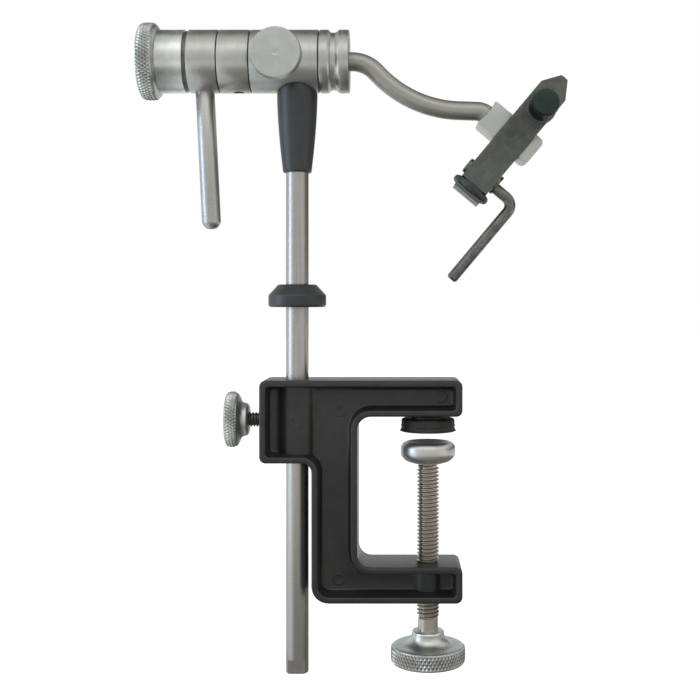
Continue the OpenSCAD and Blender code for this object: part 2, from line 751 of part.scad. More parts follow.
// Stations along a bend, each a place and a heading
function bend_stations(p, heading, r, turn) =
    let (steps = ceil(abs(turn) / stem_step))
    [for (i = [0:steps]) let (part = turn * i / steps) [past_bend(p, heading, r, part), heading + part]];
stem_stations = concat(
    [[[stem_in_x, axis_h], 0]],
    bend_stations(stem_p0, 0, stem_r1, stem_turn1),
    bend_stations(stem_p2, stem_turn1, stem_r2, -stem_turn2),
    bend_stations(stem_p4, stem_heading, stem_r3, stem_turn3),
    [[ahead(stem_p5, jaw_tilt, stem_stop), jaw_tilt]]
);

// One round bar through all the stations
module stem() color(stem_steel) {
    last = len(stem_stations) - 1;
    rows = [for (s = stem_stations) [for (i = [0:stem_sides - 1])
        let (a = 360 * i / stem_sides, across = stem_d / 2 * cos(a))
        [s[0][0] + across * sin(s[1]), stem_d / 2 * sin(a), s[0][1] + across * cos(s[1])]]];
    sides = [for (k = [0:last - 1], i = [0:stem_sides - 1])
        let (a = k * stem_sides, b = a + stem_sides, j = (i + 1) % stem_sides)
        each [[a + i, b + i, b + j], [a + i, b + j, a + j]]];
    ends = [[for (i = [0:stem_sides - 1]) i],
            [for (i = [stem_sides - 1:-1:0]) last * stem_sides + i]];
    polyhedron([for (row = rows) each row], concat(sides, ends));
}

module stem_set_screw() color(black_oxide) {
    translate([grub_x, stem_d / 2, axis_h]) rotate([-90, 0, 0]) set_screw(small_grub_d, grub_len);
}

// A ring of the drum with a set screw's hole, pointing down or up
module screwed_ring_hole(x, turn) {
    translate([x, 0, axis_h]) rotate([turn, 0, 0]) cylinder(d = grub_d, h = drum_d);
}

module rear_ring() color(steel) {
    difference() {
        on_axis(ring_rear_x) ring(drum_d, spindle_rear_d, rear_ring_w, edge);
        screwed_ring_hole(ring_rear_x + rear_ring_w * ring_hole_share, 180);
    }
}

module rear_ring_set_screw() color(black_oxide) {
    translate([ring_rear_x + rear_ring_w * ring_hole_share, 0, axis_h - spindle_rear_d / 2])
        rotate([180, 0, 0]) set_screw(grub_d, grub_len);
}

module rear_knob() color(steel) {
    difference() {
        union() {
            on_axis(knob_rear_x) knob_blank(rear_knob_d, rear_rim_w, knob_edge);
            on_axis(knob_rim_x - knob_edge) ring(drum_d, 0, knob_collar_w + knob_edge, edge);
        }
        on_axis(knob_rim_x) cylinder(d = spindle_rear_d, h = knob_collar_w + over);
        screwed_ring_hole(knob_rim_x + knob_collar_w / 2, knob_hole_lean);
    }
}

module rear_knob_set_screw() color(black_oxide) {
    translate([knob_rim_x + knob_collar_w / 2, 0, axis_h]) rotate([knob_hole_lean, 0, 0])
        translate([0, 0, spindle_rear_d / 2]) set_screw(grub_d, grub_len);
}

// Sets a shape on the crank rod's axis, with z running down the rod from the drum's surface
module on_crank_rod() {
    translate([(crank_front_x + crank_rear_x) / 2, 0, axis_h - drum_d / 2])
        rotate([0, 180 - crank_lean, 0]) children();
}

module crank_ring() color(steel) {
    wall = (drum_d - spindle_rear_d) / 2;
    difference() {
        on_axis(crank_rear_x) ring(drum_d, spindle_rear_d + 2 * run_clear, crank_ring_w, edge);
        on_crank_rod() translate([0, 0, -wall * rod_grip_share]) cylinder(d = crank_rod_d, h = wall + over);
    }
}

module crank_rod() color(steel) {
    wall = (drum_d - spindle_rear_d) / 2;
    r = crank_rod_d / 2;
    on_crank_rod() translate([0, 0, -wall * rod_grip_share]) turned(rounded([
        [0, 0, 0], [r, 0, 0], [r, wall * rod_grip_share + crank_rod_l - r / 2, r / 2],
        [r / 2, wall * rod_grip_share + crank_rod_l, r / 4], [0, wall * rod_grip_share + crank_rod_l, 0]
    ]));
}

module jaw_holder() color(blasted) {
    half = holder_l / 2;
    slot = jaw_w / 2 + face_clear;
    at_jaws() difference() {
        slab(rounded([
            [-holder_stem_side, -half, holder_near_r], [holder_far_side, -half, holder_r],
            [holder_far_side, half, holder_r], [-holder_stem_side, half, holder_near_r]
        ]), -holder_front, holder_back);
        translate([scoop_depth - holder_stem_side - scoop_r, holder_back + over, 0])
            rotate([90, 0, 0]) cylinder(r = scoop_r, h = holder_front + holder_back + 2 * over);
        translate([-slot, -holder_front - over, -holder_l])
            cube([2 * slot, holder_front + over + jaw_t, 2 * holder_l]);
        translate([-stem_run3 - over, 0, 0]) rotate([0, 90, 0])
            cylinder(d = stem_d, h = over + stem_stop);
        for (z = jaw_screw_places) translate([0, jaw_t - over, z]) rotate([-90, 0, 0])
            cylinder(d = jaw_screw_d, h = holder_back);
    }
}
jaw_screw_places = [-holder_l / 4, holder_l / 4];

// A jaw's outline from the front, and the two slopes that thin its nose and meet in a ridge
jaw_outline = [
    [-jaw_w / 2, -jaw_rear_l], [-jaw_w / 2, jaw_front_l - nose_l], [-tip_w / 2, jaw_front_l],
    [tip_w / 2, jaw_front_l], [jaw_w / 2, jaw_front_l - nose_l], [jaw_w / 2, -jaw_rear_l]
];
module nose_slope() {
    lean = cos(nose_ridge_angle);
    run = (2 * jaw_t - tip_t * lean) / ((jaw_t - tip_t) * lean) * nose_slope_l;
    for (side = [-1, 1]) rotate([90, 0, 90 + side * nose_ridge_angle]) translate([0, 0, -jaw_w])
        linear_extrude(2 * jaw_w) polygon([
            [tip_t * lean, jaw_front_l + over], [tip_t * lean, jaw_front_l], [2 * jaw_t, jaw_front_l - run],
            [2 * jaw_t, jaw_front_l + over]
        ]);
}
module ring_seat() {
    translate([0, 0, ring_z - ring_t / 2]) difference() {
        cylinder(d = 3 * jaw_w, h = ring_t);
        translate([0, 0, -over]) cylinder(d = ring_seat_d, h = ring_t + 2 * over);
    }
}
// A hole along Y at a height of the jaws, from y0 to y1
module cross_hole(z, d, y0, y1) {
    translate([0, y0, z]) rotate([-90, 0, 0]) cylinder(d = d, h = y1 - y0);
}
module adjust_hole(d, y0, y1) {
    translate([adjust_off, 0, 0]) cross_hole(adjust_z, d, y0, y1);
}

module jaw_rear() color(black_oxide) {
    at_jaws() difference() {
        slab(jaw_outline, jaw_gap / 2, jaw_t);
        nose_slope();
        ring_seat();
        translate([-jaw_w, 0, cam_z]) rotate([0, 90, 0]) cylinder(d = cam_d + 2 * run_clear, h = 2 * jaw_w);
        adjust_hole(adjust_d + 2 * run_clear, 0, jaw_t + over);
        for (z = jaw_screw_places) cross_hole(z, jaw_screw_d, jaw_t / 3, jaw_t + over);
    }
}

module jaw_screws() color(black_oxide) {
    at_jaws() for (z = jaw_screw_places) translate([0, jaw_t / 3, z]) rotate([-90, 0, 0])
        set_screw(jaw_screw_d, holder_back - jaw_t / 3 - part_clear);
}

module jaw_front() color(black_oxide) {
    at_jaws() difference() {
        union() {
            difference() {
                slab(jaw_outline, -jaw_t, -jaw_gap / 2);
                mirror([0, 1, 0]) nose_slope();
            }
            adjust_hole(adjust_boss_d, -boss_face_y, -jaw_t / 2);
        }
        ring_seat();
        translate([-jaw_w, -tail_y, -2 * jaw_rear_l]) cube([2 * jaw_w, 2 * tail_y, 2 * jaw_rear_l + land_z]);
        adjust_hole(adjust_d + 4 * part_clear, -boss_face_y - over, over);
    }
}

module jaw_adjust_screw() color(black_oxide) {
    at_jaws() adjust_hole(adjust_d, -adjust_back_y - adjust_knob_h / 2, jaw_t - jaw_gap);
}

module jaw_adjust_knob() color(black_oxide) {
    at_jaws() difference() {
        translate([adjust_off, -adjust_back_y - adjust_knob_h, adjust_z]) rotate([-90, 0, 0])
            ring(adjust_knob_d, 0, adjust_knob_h, knob_edge / 2);
        adjust_hole(adjust_d, -adjust_back_y - adjust_knob_h / 2, 0);
    }
}

// The cam's section: round where it turns in the rear jaw, and on the front jaw's side
// an involute, so that the jaw's tail falls evenly as the lever turns
cam_section = concat(
    [for (a = [0:7.5:90]) let (reach = cam_reach - cam_drop * a * PI / 180)
        reach * [cos(a), sin(a)] - cam_drop * [-sin(a), cos(a)]],
    [for (a = [172.5:7.5:330]) cam_d / 2 * [cos(a), sin(a)]]
);
module cam_lever() color(black_oxide) {
    half = jaw_w / 2 + face_clear;
    head_r = cam_head_d / 2;
    arm_x = lever_out - lever_r;
    at_jaws() translate([0, 0, cam_z]) {
        translate([-half - over, 0, 0]) rotate([90, 0, 90])
            linear_extrude(2 * (half + over)) rotate([0, 0, 180]) polygon(cam_section);
        translate([-half, 0, 0]) rotate([0, -90, 0]) turned(rounded([
            [0, 0, 0], [head_r, 0, 0], [head_r, cam_head_h, cam_head_h / 2], [0, cam_head_h, 0]
        ]));
        translate([half, 0, cam_shoulder_off]) rotate([0, 90, 0])
            cylinder(d = cam_shoulder_d, h = cam_shoulder_h);
        translate([half, 0, 0]) rotate([0, 90, 0]) cylinder(d = cam_d, h = arm_x - half);
        bend([arm_x, 0], 0, lever_r, 90, cam_d);
        translate([lever_out, 0, -lever_r]) rotate([180, 0, 0]) turned([
            [0, 0], [cam_d / 2, 0], [cam_d / 2, lever_l - lever_r - cam_d / 6],
            [cam_d / 3, lever_l - lever_r], [0, lever_l - lever_r]
        ]);
    }
}

module jaw_o_ring() color(rubber) {
    at_jaws() translate([0, 0, ring_z]) rotate_extrude()
        translate([(ring_seat_d + ring_t) / 2 + run_clear, 0]) circle(d = ring_t - 2 * run_clear);
}

clamp_frame();
clamp_pad();
pressure_head();
clamp_screw();
clamp_knob();
post_thumbscrew_tip();
post_thumbscrew();
post_thumbscrew_knob();
stop_collar();
stop_collar_set_screw();
post();
post_sleeve();
rotary_housing();
front_bushing();
rear_bushing();
lock_plug();
lock_screw();
lock_knob();
spindle();
front_collar();
front_thrust_washer();
stem();
stem_set_screw();
rear_ring();
rear_ring_set_screw();
rear_thrust_washer();
crank_washer();
drag_washer();
rear_knob();
rear_knob_set_screw();
crank_ring();
crank_rod();
jaw_holder();
jaw_rear();
jaw_screws();
jaw_front();
jaw_adjust_screw();
jaw_adjust_knob();
cam_lever();
jaw_o_ring();
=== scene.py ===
"""Looks of a rotary fly tying vise, dressed over its packed frame.

Shapes are in millimetres until they become meshes, which are in metres, and the stage is in metres. The
axes are the frame's own: +Z up along the post, +X from the rear knob to the jaws, -Y towards the lock knob.
"""
import math

import bmesh
import bpy
from bpy.props import FloatProperty, FloatVectorProperty, IntProperty, PointerProperty
from mathutils import Matrix, Vector


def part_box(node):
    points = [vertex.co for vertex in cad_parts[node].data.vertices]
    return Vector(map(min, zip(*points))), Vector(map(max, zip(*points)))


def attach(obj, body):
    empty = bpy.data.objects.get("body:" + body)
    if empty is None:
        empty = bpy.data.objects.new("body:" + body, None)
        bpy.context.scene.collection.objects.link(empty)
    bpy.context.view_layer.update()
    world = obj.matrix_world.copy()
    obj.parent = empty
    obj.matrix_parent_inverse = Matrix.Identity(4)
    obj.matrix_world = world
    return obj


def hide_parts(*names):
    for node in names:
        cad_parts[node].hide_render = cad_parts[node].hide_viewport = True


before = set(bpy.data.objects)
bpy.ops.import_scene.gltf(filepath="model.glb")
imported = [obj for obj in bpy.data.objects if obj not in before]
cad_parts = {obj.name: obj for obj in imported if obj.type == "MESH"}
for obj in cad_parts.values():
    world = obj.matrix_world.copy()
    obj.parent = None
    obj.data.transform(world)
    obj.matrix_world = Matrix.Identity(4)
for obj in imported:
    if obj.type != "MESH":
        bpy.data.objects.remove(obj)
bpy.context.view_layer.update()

bl_info = {
    "name": "Fly Tying Vise",
    "version": (1, 0, 0),
    "blender": (4, 5, 0),
    "location": "View3D > Sidebar > Vise",
    "description": "Builds the detailed pieces of a rotary fly tying vise over its frame",
    "category": "Add Mesh",
}

MM = 0.001


def low(node):
    """A node's lowest corner at rest, in millimetres."""
    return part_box(node)[0] / MM


def high(node):
    """A node's highest corner at rest, in millimetres."""
    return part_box(node)[1] / MM


def middle(node):
    """The middle of a node's box at rest, in millimetres."""
    return (low(node) + high(node)) / 2


AXIS = middle("rotary_housing")     # the rotary axis runs along X through here
POST_X = middle("stop_collar").x
DRUM_R = (high("rotary_housing").z - low("rotary_housing").z) / 2
POST_R = 4.7625                     # a 3/8 in bar
POST_BORE_R = 4.82                  # of the collar and the sleeve on the post
WEB = 4.5                           # half the thickness of the casting's web
DOT = 0.01                          # the radius of a row that closes a turned shape
LATHE_LINE = 0.16                   # width of the lines that a lathe leaves
KNURL_ANGLE = 24                    # edges of a knurl sharper than this stay crisp
SET_SCREW_D, SMALL_SET_SCREW_D = 4.6, 3.45
UP = Matrix.Identity(4)
AT_POST = Matrix.Translation((POST_X, 0, 0))
CLOSED, OPEN = (True, True), (False, False)     # whether a shape has its two end caps


# Settings

def number(name, about, default, least, most, unit="NONE"):
    """A number, as the panel shows it."""
    return FloatProperty(name=name, description=about, default=default, min=least, max=most, unit=unit)


def length(name, about, default, least, most):
    """A size in millimetres, which the panel shows as such through Blender's unit for lenses."""
    return number(name, about + ", in millimetres", default, least, most, "CAMERA")


def count(name, about, default, least=24, most=160):
    """A whole number, as the panel shows it."""
    return IntProperty(name=name, description=about, default=default, min=least, max=most)


def colour(name, about, default):
    """A base colour, as the panel shows it."""
    return FloatVectorProperty(name=name, description=about, default=default, size=3,
                               subtype="COLOR", min=0.0, max=1.0)


class ViseClampSizes(bpy.types.PropertyGroup):
    """Sizes of the cast frame."""
    rim: length("Rim", "Flat width of the raised rim", 2.1, 1, 4)
    edge: length("Edge", "Rounding of the casting's outer edges", 0.9, 0.2, 2)
    inner_edge: length("Inner Edge", "Rounding of the rim's inner edge", 0.5, 0.1, 1)
    draft: length("Draft", "How far the recess walls lean in", 0.9, 0, 2)
    fillet: length("Fillet", "Rounding where the recess walls meet the web", 1.1, 0.3, 2)
    recess_r: length("Recess Corner", "Radius of the recess corners", 1.7, 0.5, 4)
    boss_fillet: length("Boss Fillet", "Rounding where the bosses meet the web", 2.8, 0.5, 4)
    mark_r: length("Mark", "Radius of the round ejector marks", 2.6, 1, 4)


class ViseKnurlSizes(bpy.types.PropertyGroup):
    """Sizes of the knurls."""
    depth: length("Depth", "Depth of the diamond knurl", 0.5, 0.1, 1)
    clamp_teeth: count("Clamp Knob Teeth", "Diamonds round the clamp knob", 60)
    thumb_teeth: count("Thumb Knob Teeth", "Diamonds round the thumbscrew's knob", 52)
    rear_teeth: count("Rear Knob Teeth", "Diamonds round the rear knob", 66)
    lock_teeth: count("Lock Knob Teeth", "Diamonds round the lock knob", 64)
    adjust_teeth: count("Adjuster Teeth", "Straight teeth round the adjusting knob", 52, 24, 120)


class ViseThreadSizes(bpy.types.PropertyGroup):
    """Sizes of the threads."""
    clamp_pitch: length("Clamp Pitch", "Pitch of the clamp screw", 1.5875, 1, 3)
    fine_pitch: length("Fine Pitch", "Pitch of the thumbscrew", 1.27, 0.8, 2)
    depth_share: number("Depth Share", "Depth of a thread as a share of its pitch", 0.5, 0.2, 0.6)
    steps: count("Steps", "Straight steps in one turn of a thread", 48, 16, 96)


class ViseTurningSizes(bpy.types.PropertyGroup):
    """Sizes shared by the turned pieces, and the bevels of the jaws and their holder."""
    edge: length("Edge", "Broken edges of the drum's rings", 0.28, 0.05, 1)
    sides: count("Sides", "Straight sides of a turned piece", 128, 32, 256)
    jaw_edge: length("Jaw Edge", "Bevel along the jaws' edges", 0.42, 0.05, 1)
    holder_edge: length("Holder Edge", "Bevel along the holder's edges", 0.6, 0.05, 1.2)


class ViseColours(bpy.types.PropertyGroup):
    """Base colours of the finishes."""
    casting: colour("Casting", "Black coat of the cast frame", (0.0165, 0.0172, 0.0156))
    rubber: colour("Rubber", "Clamp pad", (0.018, 0.018, 0.017))
    ring: colour("Ring Rubber", "O-ring round the jaws", (0.036, 0.041, 0.043))
    steel: colour("Turned Steel", "Drum rings and pressure head", (0.4, 0.4, 0.375))
    post: colour("Post Steel", "Post", (0.38, 0.362, 0.34))
    knurled: colour("Knurled Steel", "Knobs", (0.4, 0.41, 0.385))
    screw: colour("Screw Steel", "Clamp screw", (0.36, 0.335, 0.285))
    rod: colour("Rod Steel", "Crank rod", (0.375, 0.368, 0.355))
    stem: colour("Stem Steel", "Bent stem", (0.3, 0.292, 0.262))
    blasted: colour("Blasted Metal", "Jaw holder", (0.4, 0.41, 0.39))
    oxide: colour("Black Oxide", "Jaws and their screws", (0.069, 0.076, 0.067))
    lever: colour("Lever Oxide", "Cam lever and drag washer", (0.105, 0.112, 0.103))
    adjuster: colour("Adjuster Oxide", "Adjusting knob", (0.0165, 0.0245, 0.0215))
    plastic: colour("Black Plastic", "Sleeve, collar and thin washers", (0.0175, 0.0202, 0.0225))
    brass: colour("Brass", "Soft tips", (0.6, 0.44, 0.18))
    bronze: colour("Bronze", "Bushings", (0.45, 0.28, 0.14))
    floor: colour("Floor", "Floor of the studio", (0.86, 0.86, 0.86))


class ViseStageSizes(bpy.types.PropertyGroup):
    """Camera and light."""
    lens: length("Lens", "Focal length of the camera", 56.57, 20, 200)
    key: number("Key", "Power of the key light, in watts", 2.7, 0, 100, "POWER")
    fill: number("Fill", "Power of the fill light, in watts", 0.9, 0, 100, "POWER")
    cool: number("Window", "Power of the cool light on the left, in watts", 3.8, 0, 100, "POWER")
    ambient: number("Ambient", "Strength of the soft light from all round", 0.54, 0, 2)


# Shapes

def angles(sides, steps=0):
    """The turns of points spaced evenly round a circle, as many as its sides unless steps says."""
    return [2 * math.pi * i / sides for i in range(steps or sides)]


class Shape:
    """Points and faces in millimetres, gathered before they become one mesh."""

    def __init__(self):
        self.points, self.faces = [], []

    def add(self, points, faces, place=UP):
        start = len(self.points)
        self.points += [place @ Vector(p) for p in points]
        self.faces += [[start + i for i in face] for face in faces]

    def loft(self, loops, place=UP, caps=CLOSED, lifted=()):
        """Joins loops of equal count. Next to a lifted loop each cell is split along its valley."""
        size, faces = len(loops[0]), []
        for k in range(len(loops) - 1):
            for i in range(size):
                j = (i + 1) % size
                a, b, c, d = k * size + i, k * size + j, (k + 1) * size + j, (k + 1) * size + i
                if k in lifted or k + 1 in lifted:
                    faces += [[a, b, c], [a, c, d]] if (i + k) % 2 == 0 else [[a, b, d], [b, c, d]]
                else:
                    faces.append([a, b, c, d])
        if caps[0]:
            faces.append(list(range(size))[::-1])
        if caps[1]:
            faces.append([(len(loops) - 1) * size + i for i in range(size)])
        self.add([p for loop in loops for p in loop], faces, place)

    def turned(self, rows, sides, place=UP, caps=CLOSED):
        """Turns rows of (radius, height) or (radius, height, lift). A lift raises every other point
        of its row, which makes the peaks of a diamond knurl."""
        loops, lifted = [], set()
        for k, (radius, z, *lift) in enumerate(rows):
            if lift:
                lifted.add(k)
            loop = []
            for i, turn in enumerate(angles(sides)):
                r = radius + (lift[0] if lift and (i + k) % 2 else 0)
                loop.append((r * math.cos(turn), r * math.sin(turn), z))
            loops.append(loop)
        self.loft(loops, place, caps, lifted)

    def thread(self, d, pitch, z0, z1, sizes, place=UP):
        """A right-handed thread from z0 to z1, closed by its flat ends."""
        depth, steps = pitch * sizes.depth_share, sizes.steps
        outer, root = d / 2, d / 2 - depth
        profile = [(0.0, root), (0.17, root), (0.43, outer), (0.57, outer), (0.83, root)]
        points, rows = [], (math.ceil((z1 - z0) / pitch) + 1) * len(profile)
        for j in range(rows + 1):
            share, r = profile[j % len(profile)]
            for i, turn in enumerate(angles(steps, steps + 1)):
                z = z0 + pitch * (share + j // len(profile) - 1 + i / steps)
                end = min(z - z0, z1 - z)
                reach = min(r, root + max(end, 0.0)) if end < depth else r
                points.append((reach * math.cos(turn), reach * math.sin(turn), min(max(z, z0), z1)))
        across = steps + 1
        starts = [j * across + i for j in range(rows) for i in range(steps)]
        self.add(points, [[a, a + 1, a + across + 1, a + across] for a in starts], place)
        for z, way in ((z0, -1), (z1, 1)):
            ring = [(root * math.cos(t), root * math.sin(t), z) for t in angles(steps)]
            self.add(ring, [list(range(steps))[::way]], place)

    def swept(self, stations, r, sides):
        """A round bar through stations in the X-Z plane, each a place and a heading below the horizontal."""
        self.loft([[(place[0] + r * math.cos(t) * math.sin(heading), r * math.sin(t),
                     place[1] + r * math.cos(t) * math.cos(heading)) for t in angles(sides)]
                   for place, heading in stations])


def arc(centre, r, start, end, steps):
    """Points of (radius, height) on an arc, from one angle to another, in degrees."""
    turns = [math.radians(start + (end - start) * i / steps) for i in range(steps + 1)]
    return [(centre[0] + r * math.cos(t), centre[1] + r * math.sin(t)) for t in turns]


def rounded(corners, steps=8):
    """An outline whose corners are given as (x, y, radius); each corner becomes steps + 1 points."""
    out = []
    for k, (x, y, r) in enumerate(corners):
        a, b, c = Vector(corners[k - 1][:2]), Vector((x, y)), Vector(corners[(k + 1) % len(corners)][:2])
        u, v = (a - b).normalized(), (c - b).normalized()
        half = math.acos(max(-1, min(1, u.dot(v)))) / 2
        r = max(r, DOT)
        mid = b + (u + v).normalized() * r / math.sin(half)
        first, last = b + u * r / math.tan(half) - mid, b + v * r / math.tan(half) - mid
        start = math.atan2(first.y, first.x)
        turn = (math.atan2(last.y, last.x) - start + math.pi) % (2 * math.pi) - math.pi
        for i in range(steps + 1):
            at = start + turn * i / steps
            out.append(tuple(mid + Vector((math.cos(at), math.sin(at))) * r))
    return out


def tube_rows(corners, base):
    """Rounded corners as the rows of a tube that stands on a base: they end where they start."""
    outline = rounded(corners, 6)
    return [(r, base + z) for r, z in outline + outline[:1]]


def below(r, rows):
    """Rows of (drop, height) as rows of (radius, height), each drop taken off r."""
    return [(r - drop, z) for drop, z in rows]


def knurled(r, rows, depth):
    """Rows of (drop, height) below r, of which all but the first and the last carry diamonds."""
    rows = below(r, rows)
    return rows[:1] + [(radius - depth, z, depth) for radius, z in rows[1:-1]] + rows[-1:]


def pointing(place, axis):
    """Sets a turned shape at place with its height along an axis: one of X, -X, Y, -Y, Z or -Z."""
    way = Vector([(-1 if axis[0] == "-" else 1) * (axis[-1] == letter) for letter in "XYZ"])
    turn = Vector((0, 0, 1)).rotation_difference(way).to_matrix().to_4x4()
    return Matrix.Translation(Vector(place)) @ turn


def show(name, data):
    """A new object in the scene."""
    thing = bpy.data.objects.new(name, data)
    bpy.context.scene.collection.objects.link(thing)
    return thing


def to_mesh(bm, name):
    mesh = bpy.data.meshes.new(name)
    bm.to_mesh(mesh)
    bm.free()
    return mesh


def to_bmesh(shape):
    """A shape in metres, with doubled points joined and its faces outwards."""
    bm = bmesh.new()
    points = [bm.verts.new(p * MM) for p in shape.points]
    for face in shape.faces:
        try:
            bm.faces.new([points[i] for i in face])
        except ValueError:
            continue  # the same face twice, where two ends meet
    bmesh.ops.remove_doubles(bm, verts=bm.verts, dist=2e-6)
    bmesh.ops.recalc_face_normals(bm, faces=bm.faces)
    return bm


def set_shading(mesh, sharp):
    """Smooth faces, with edges sharper than the angle kept crisp."""
    mesh.shade_smooth()
    mesh.set_sharp_from_angle(angle=math.radians(sharp))


def from_bmesh(bm, name, body, finish, nodes, sharp):
    """Makes one mesh object that rides on a body and stands for nodes."""
    mesh = to_mesh(bm, name)
    set_shading(mesh, sharp)
    mesh.materials.append(finish)
    piece = show(name, mesh)
    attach(piece, body)
    if nodes:
        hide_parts(*nodes)
    return piece


def new_piece(shape, name, body, finish, slot, nodes, sharp=32):
    """Makes a piece of a shape."""
    return from_bmesh(to_bmesh(shape), name, body, finish, nodes, sharp)


def turned_piece(rows, sides, place, caps, *about):
    """Makes a piece of one turned shape; about is what new_piece() takes after the shape."""
    shape = Shape()
    shape.turned(rows, sides, place, caps)
    return new_piece(shape, *about)


def dressed(node, name, body, finish, width):
    """A piece with the node's own form and bevelled edges, which stands for the node."""
    flat, corner, segments = math.radians(0.6), math.radians(28), 3
    bm = bmesh.new()
    bm.from_mesh(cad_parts[node].data)
    bmesh.ops.remove_doubles(bm, verts=bm.verts, dist=1e-6)
    bmesh.ops.dissolve_limit(bm, angle_limit=flat, verts=bm.verts, edges=bm.edges)
    edges = [e for e in bm.edges if len(e.link_faces) == 2 and e.calc_face_angle(0) > corner]
    bmesh.ops.bevel(bm, geom=edges, offset=width * MM, offset_type="OFFSET", segments=segments,
                    profile=0.5, affect="EDGES", clamp_overlap=True)
    return from_bmesh(bm, name, body, finish, (node,), 40)


def drill(piece, cutter_shape, sharp=32):
    """Cuts a shape out of a piece, for good."""
    mesh = to_mesh(to_bmesh(cutter_shape), "cutter")
    cutter = show("cutter", mesh)
    cut = piece.modifiers.new("cut", "BOOLEAN")
    cut.operation, cut.solver, cut.object = "DIFFERENCE", "EXACT", cutter
    bpy.context.view_layer.update()
    result = bpy.data.meshes.new_from_object(piece.evaluated_get(bpy.context.evaluated_depsgraph_get()))
    piece.modifiers.clear()
    old, piece.data = piece.data, result
    bpy.data.meshes.remove(old)
    bpy.data.objects.remove(cutter)
    bpy.data.meshes.remove(mesh)
    set_shading(piece.data, sharp)


def plug(d, place):
    """A plain cylinder to cut a set screw's hole with."""
    shape = Shape()
    shape.turned([(d / 2, 0), (d / 2, 12)], 40, place)
    return shape


# Finishes

class Finish:
    """A material's node tree, built up step by step from one of the panel's colours."""

    def __init__(self, name, colour_name, metallic, roughness, tone=1.0, **sockets):
        self.material = bpy.data.materials.new(name)
        self.material.use_nodes = True
        self.nodes, self.links = self.material.node_tree.nodes, self.material.node_tree.links
        self.shader = self.nodes["Principled BSDF"]
        self.base = tuple(c * tone for c in getattr(bpy.context.scene.vise_colours, colour_name))
        self.roughness = roughness
        self.set(self.shader, "Base Color", (*self.base, 1))
        self.set(self.shader, "Metallic", metallic)
        self.set(self.shader, "Roughness", roughness)
        for socket, value in sockets.items():
            self.set(self.shader, socket.replace("_", " "), value)
        self.place = self.add("TexCoord").outputs["Object"]
        self.bump = None

    def set(self, node, socket, value):
        if isinstance(value, bpy.types.NodeSocket):
            self.links.new(value, node.inputs[socket])
        else:
            node.inputs[socket].default_value = value

    def add(self, kind, inputs=None, **options):
        """A new node, with its options and then its inputs by number or name."""
        node = self.nodes.new("ShaderNode" + kind)
        for option, value in options.items():
            setattr(node, option, value)
        for socket, value in (inputs or {}).items():
            self.set(node, socket, value)
        return node

    def math(self, operation, a, b=0.0):
        return self.add("Math", {0: a, 1: b}, operation=operation).outputs[0]

    def vector(self, operation, a, b):
        return self.add("VectorMath", {0: a, 1: b}, operation=operation).outputs[0]

    def mix(self, one, share, other):
        """A share of one value and the rest of another."""
        return self.math("ADD", self.math("MULTIPLY", one, share), self.math("MULTIPLY", other, 1 - share))

    def split(self, vector):
        """A vector's X, Y and Z by name."""
        node = self.add("SeparateXYZ", {0: vector})
        return {name: node.outputs[name] for name in "XYZ"}

    def comb(self, axis):
        """Draws the highlights out, as lines round an axis do."""
        tangent = self.add("Tangent", direction_type="RADIAL", axis=axis)
        self.set(self.shader, "Tangent", tangent.outputs[0])

    def along_and_out(self, centre, axis):
        """A place as (along the axis, out from it), in metres, so that lines run round a turned piece."""
        parts = self.split(self.vector("SUBTRACT", self.place, [c * MM for c in centre]))
        along = parts.pop(axis)
        one, two = (self.math("MULTIPLY", part, part) for part in parts.values())
        out = self.math("SQRT", self.math("ADD", one, two))
        return self.add("CombineXYZ", {"X": along, "Y": out}).outputs[0]

    def noise(self, place, size, stretch=(1, 1, 1), detail=3.0, rough=0.55):
        """Noise whose grains are about size millimetres across, longer along a stretched axis."""
        scaled = self.vector("MULTIPLY", place, [1 / (size * MM * s) for s in stretch])
        inputs = {"Vector": scaled, "Scale": 1.0, "Detail": detail, "Roughness": rough}
        return self.add("TexNoise", inputs).outputs["Fac"]

    def with_crests(self, value, strength):
        """Calms a noise, adds to it on raised edges as a painted highlight, and takes from it in hollows as
        painted shade.
        """
        if not strength:
            return value
        raised = self.add("NewGeometry").outputs["Pointiness"]
        # painted highlight on raised edges, painted shade in hollows
        crests = self.math("MULTIPLY", self.math("SUBTRACT", raised, 0.5), strength)
        return self.math("ADD", self.math("ADD", self.math("MULTIPLY", value, 0.5), 0.25), crests)

    def spread(self, value, least, most, start=0.3, end=0.7):
        """Maps a noise, or the range from start to end, onto a range."""
        inputs = {"Value": value, "From Min": start, "From Max": end, "To Min": least, "To Max": most}
        return self.add("MapRange", inputs).outputs["Result"]

    def shade(self, value, dark, light, other=None):
        """Varies the colour by a noise, from a dark share of it, or of another colour, to a light one."""
        node = self.add("Mix", {"Factor": self.spread(value, 0.0, 1.0)}, data_type="RGBA")
        sockets = [s for s in node.inputs if s.type == "RGBA"]
        sockets[0].default_value = (*[c * dark for c in (other or self.base)], 1)
        sockets[1].default_value = (*[c * light for c in self.base], 1)
        self.set(self.shader, "Base Color", [s for s in node.outputs if s.type == "RGBA"][0])

    def roughen(self, value, less=0.06, more=0.08):
        """Varies the roughness by a noise."""
        self.set(self.shader, "Roughness", self.spread(value, self.roughness - less, self.roughness + more))

    def raise_by(self, value, height):
        """Adds bump of a height in millimetres."""
        node = self.add("Bump", {"Strength": 1.0, "Distance": height * MM, "Height": value})
        if self.bump:
            self.set(node, "Normal", self.bump)
        self.bump = node.outputs["Normal"]
        self.set(self.shader, "Normal", self.bump)

    def grained(self, grain, height, *spans):
        """Ends a finish whose grain both roughens and raises it."""
        self.roughen(grain, *spans)
        self.raise_by(grain, height)
        return self.material


FINISHES = {}


def kept(build):
    """Builds each finish once."""
    def wrapper(*args):
        key = (build.__name__, *args)
        if key not in FINISHES:
            FINISHES[key] = build(*args)
        return FINISHES[key]
    return wrapper


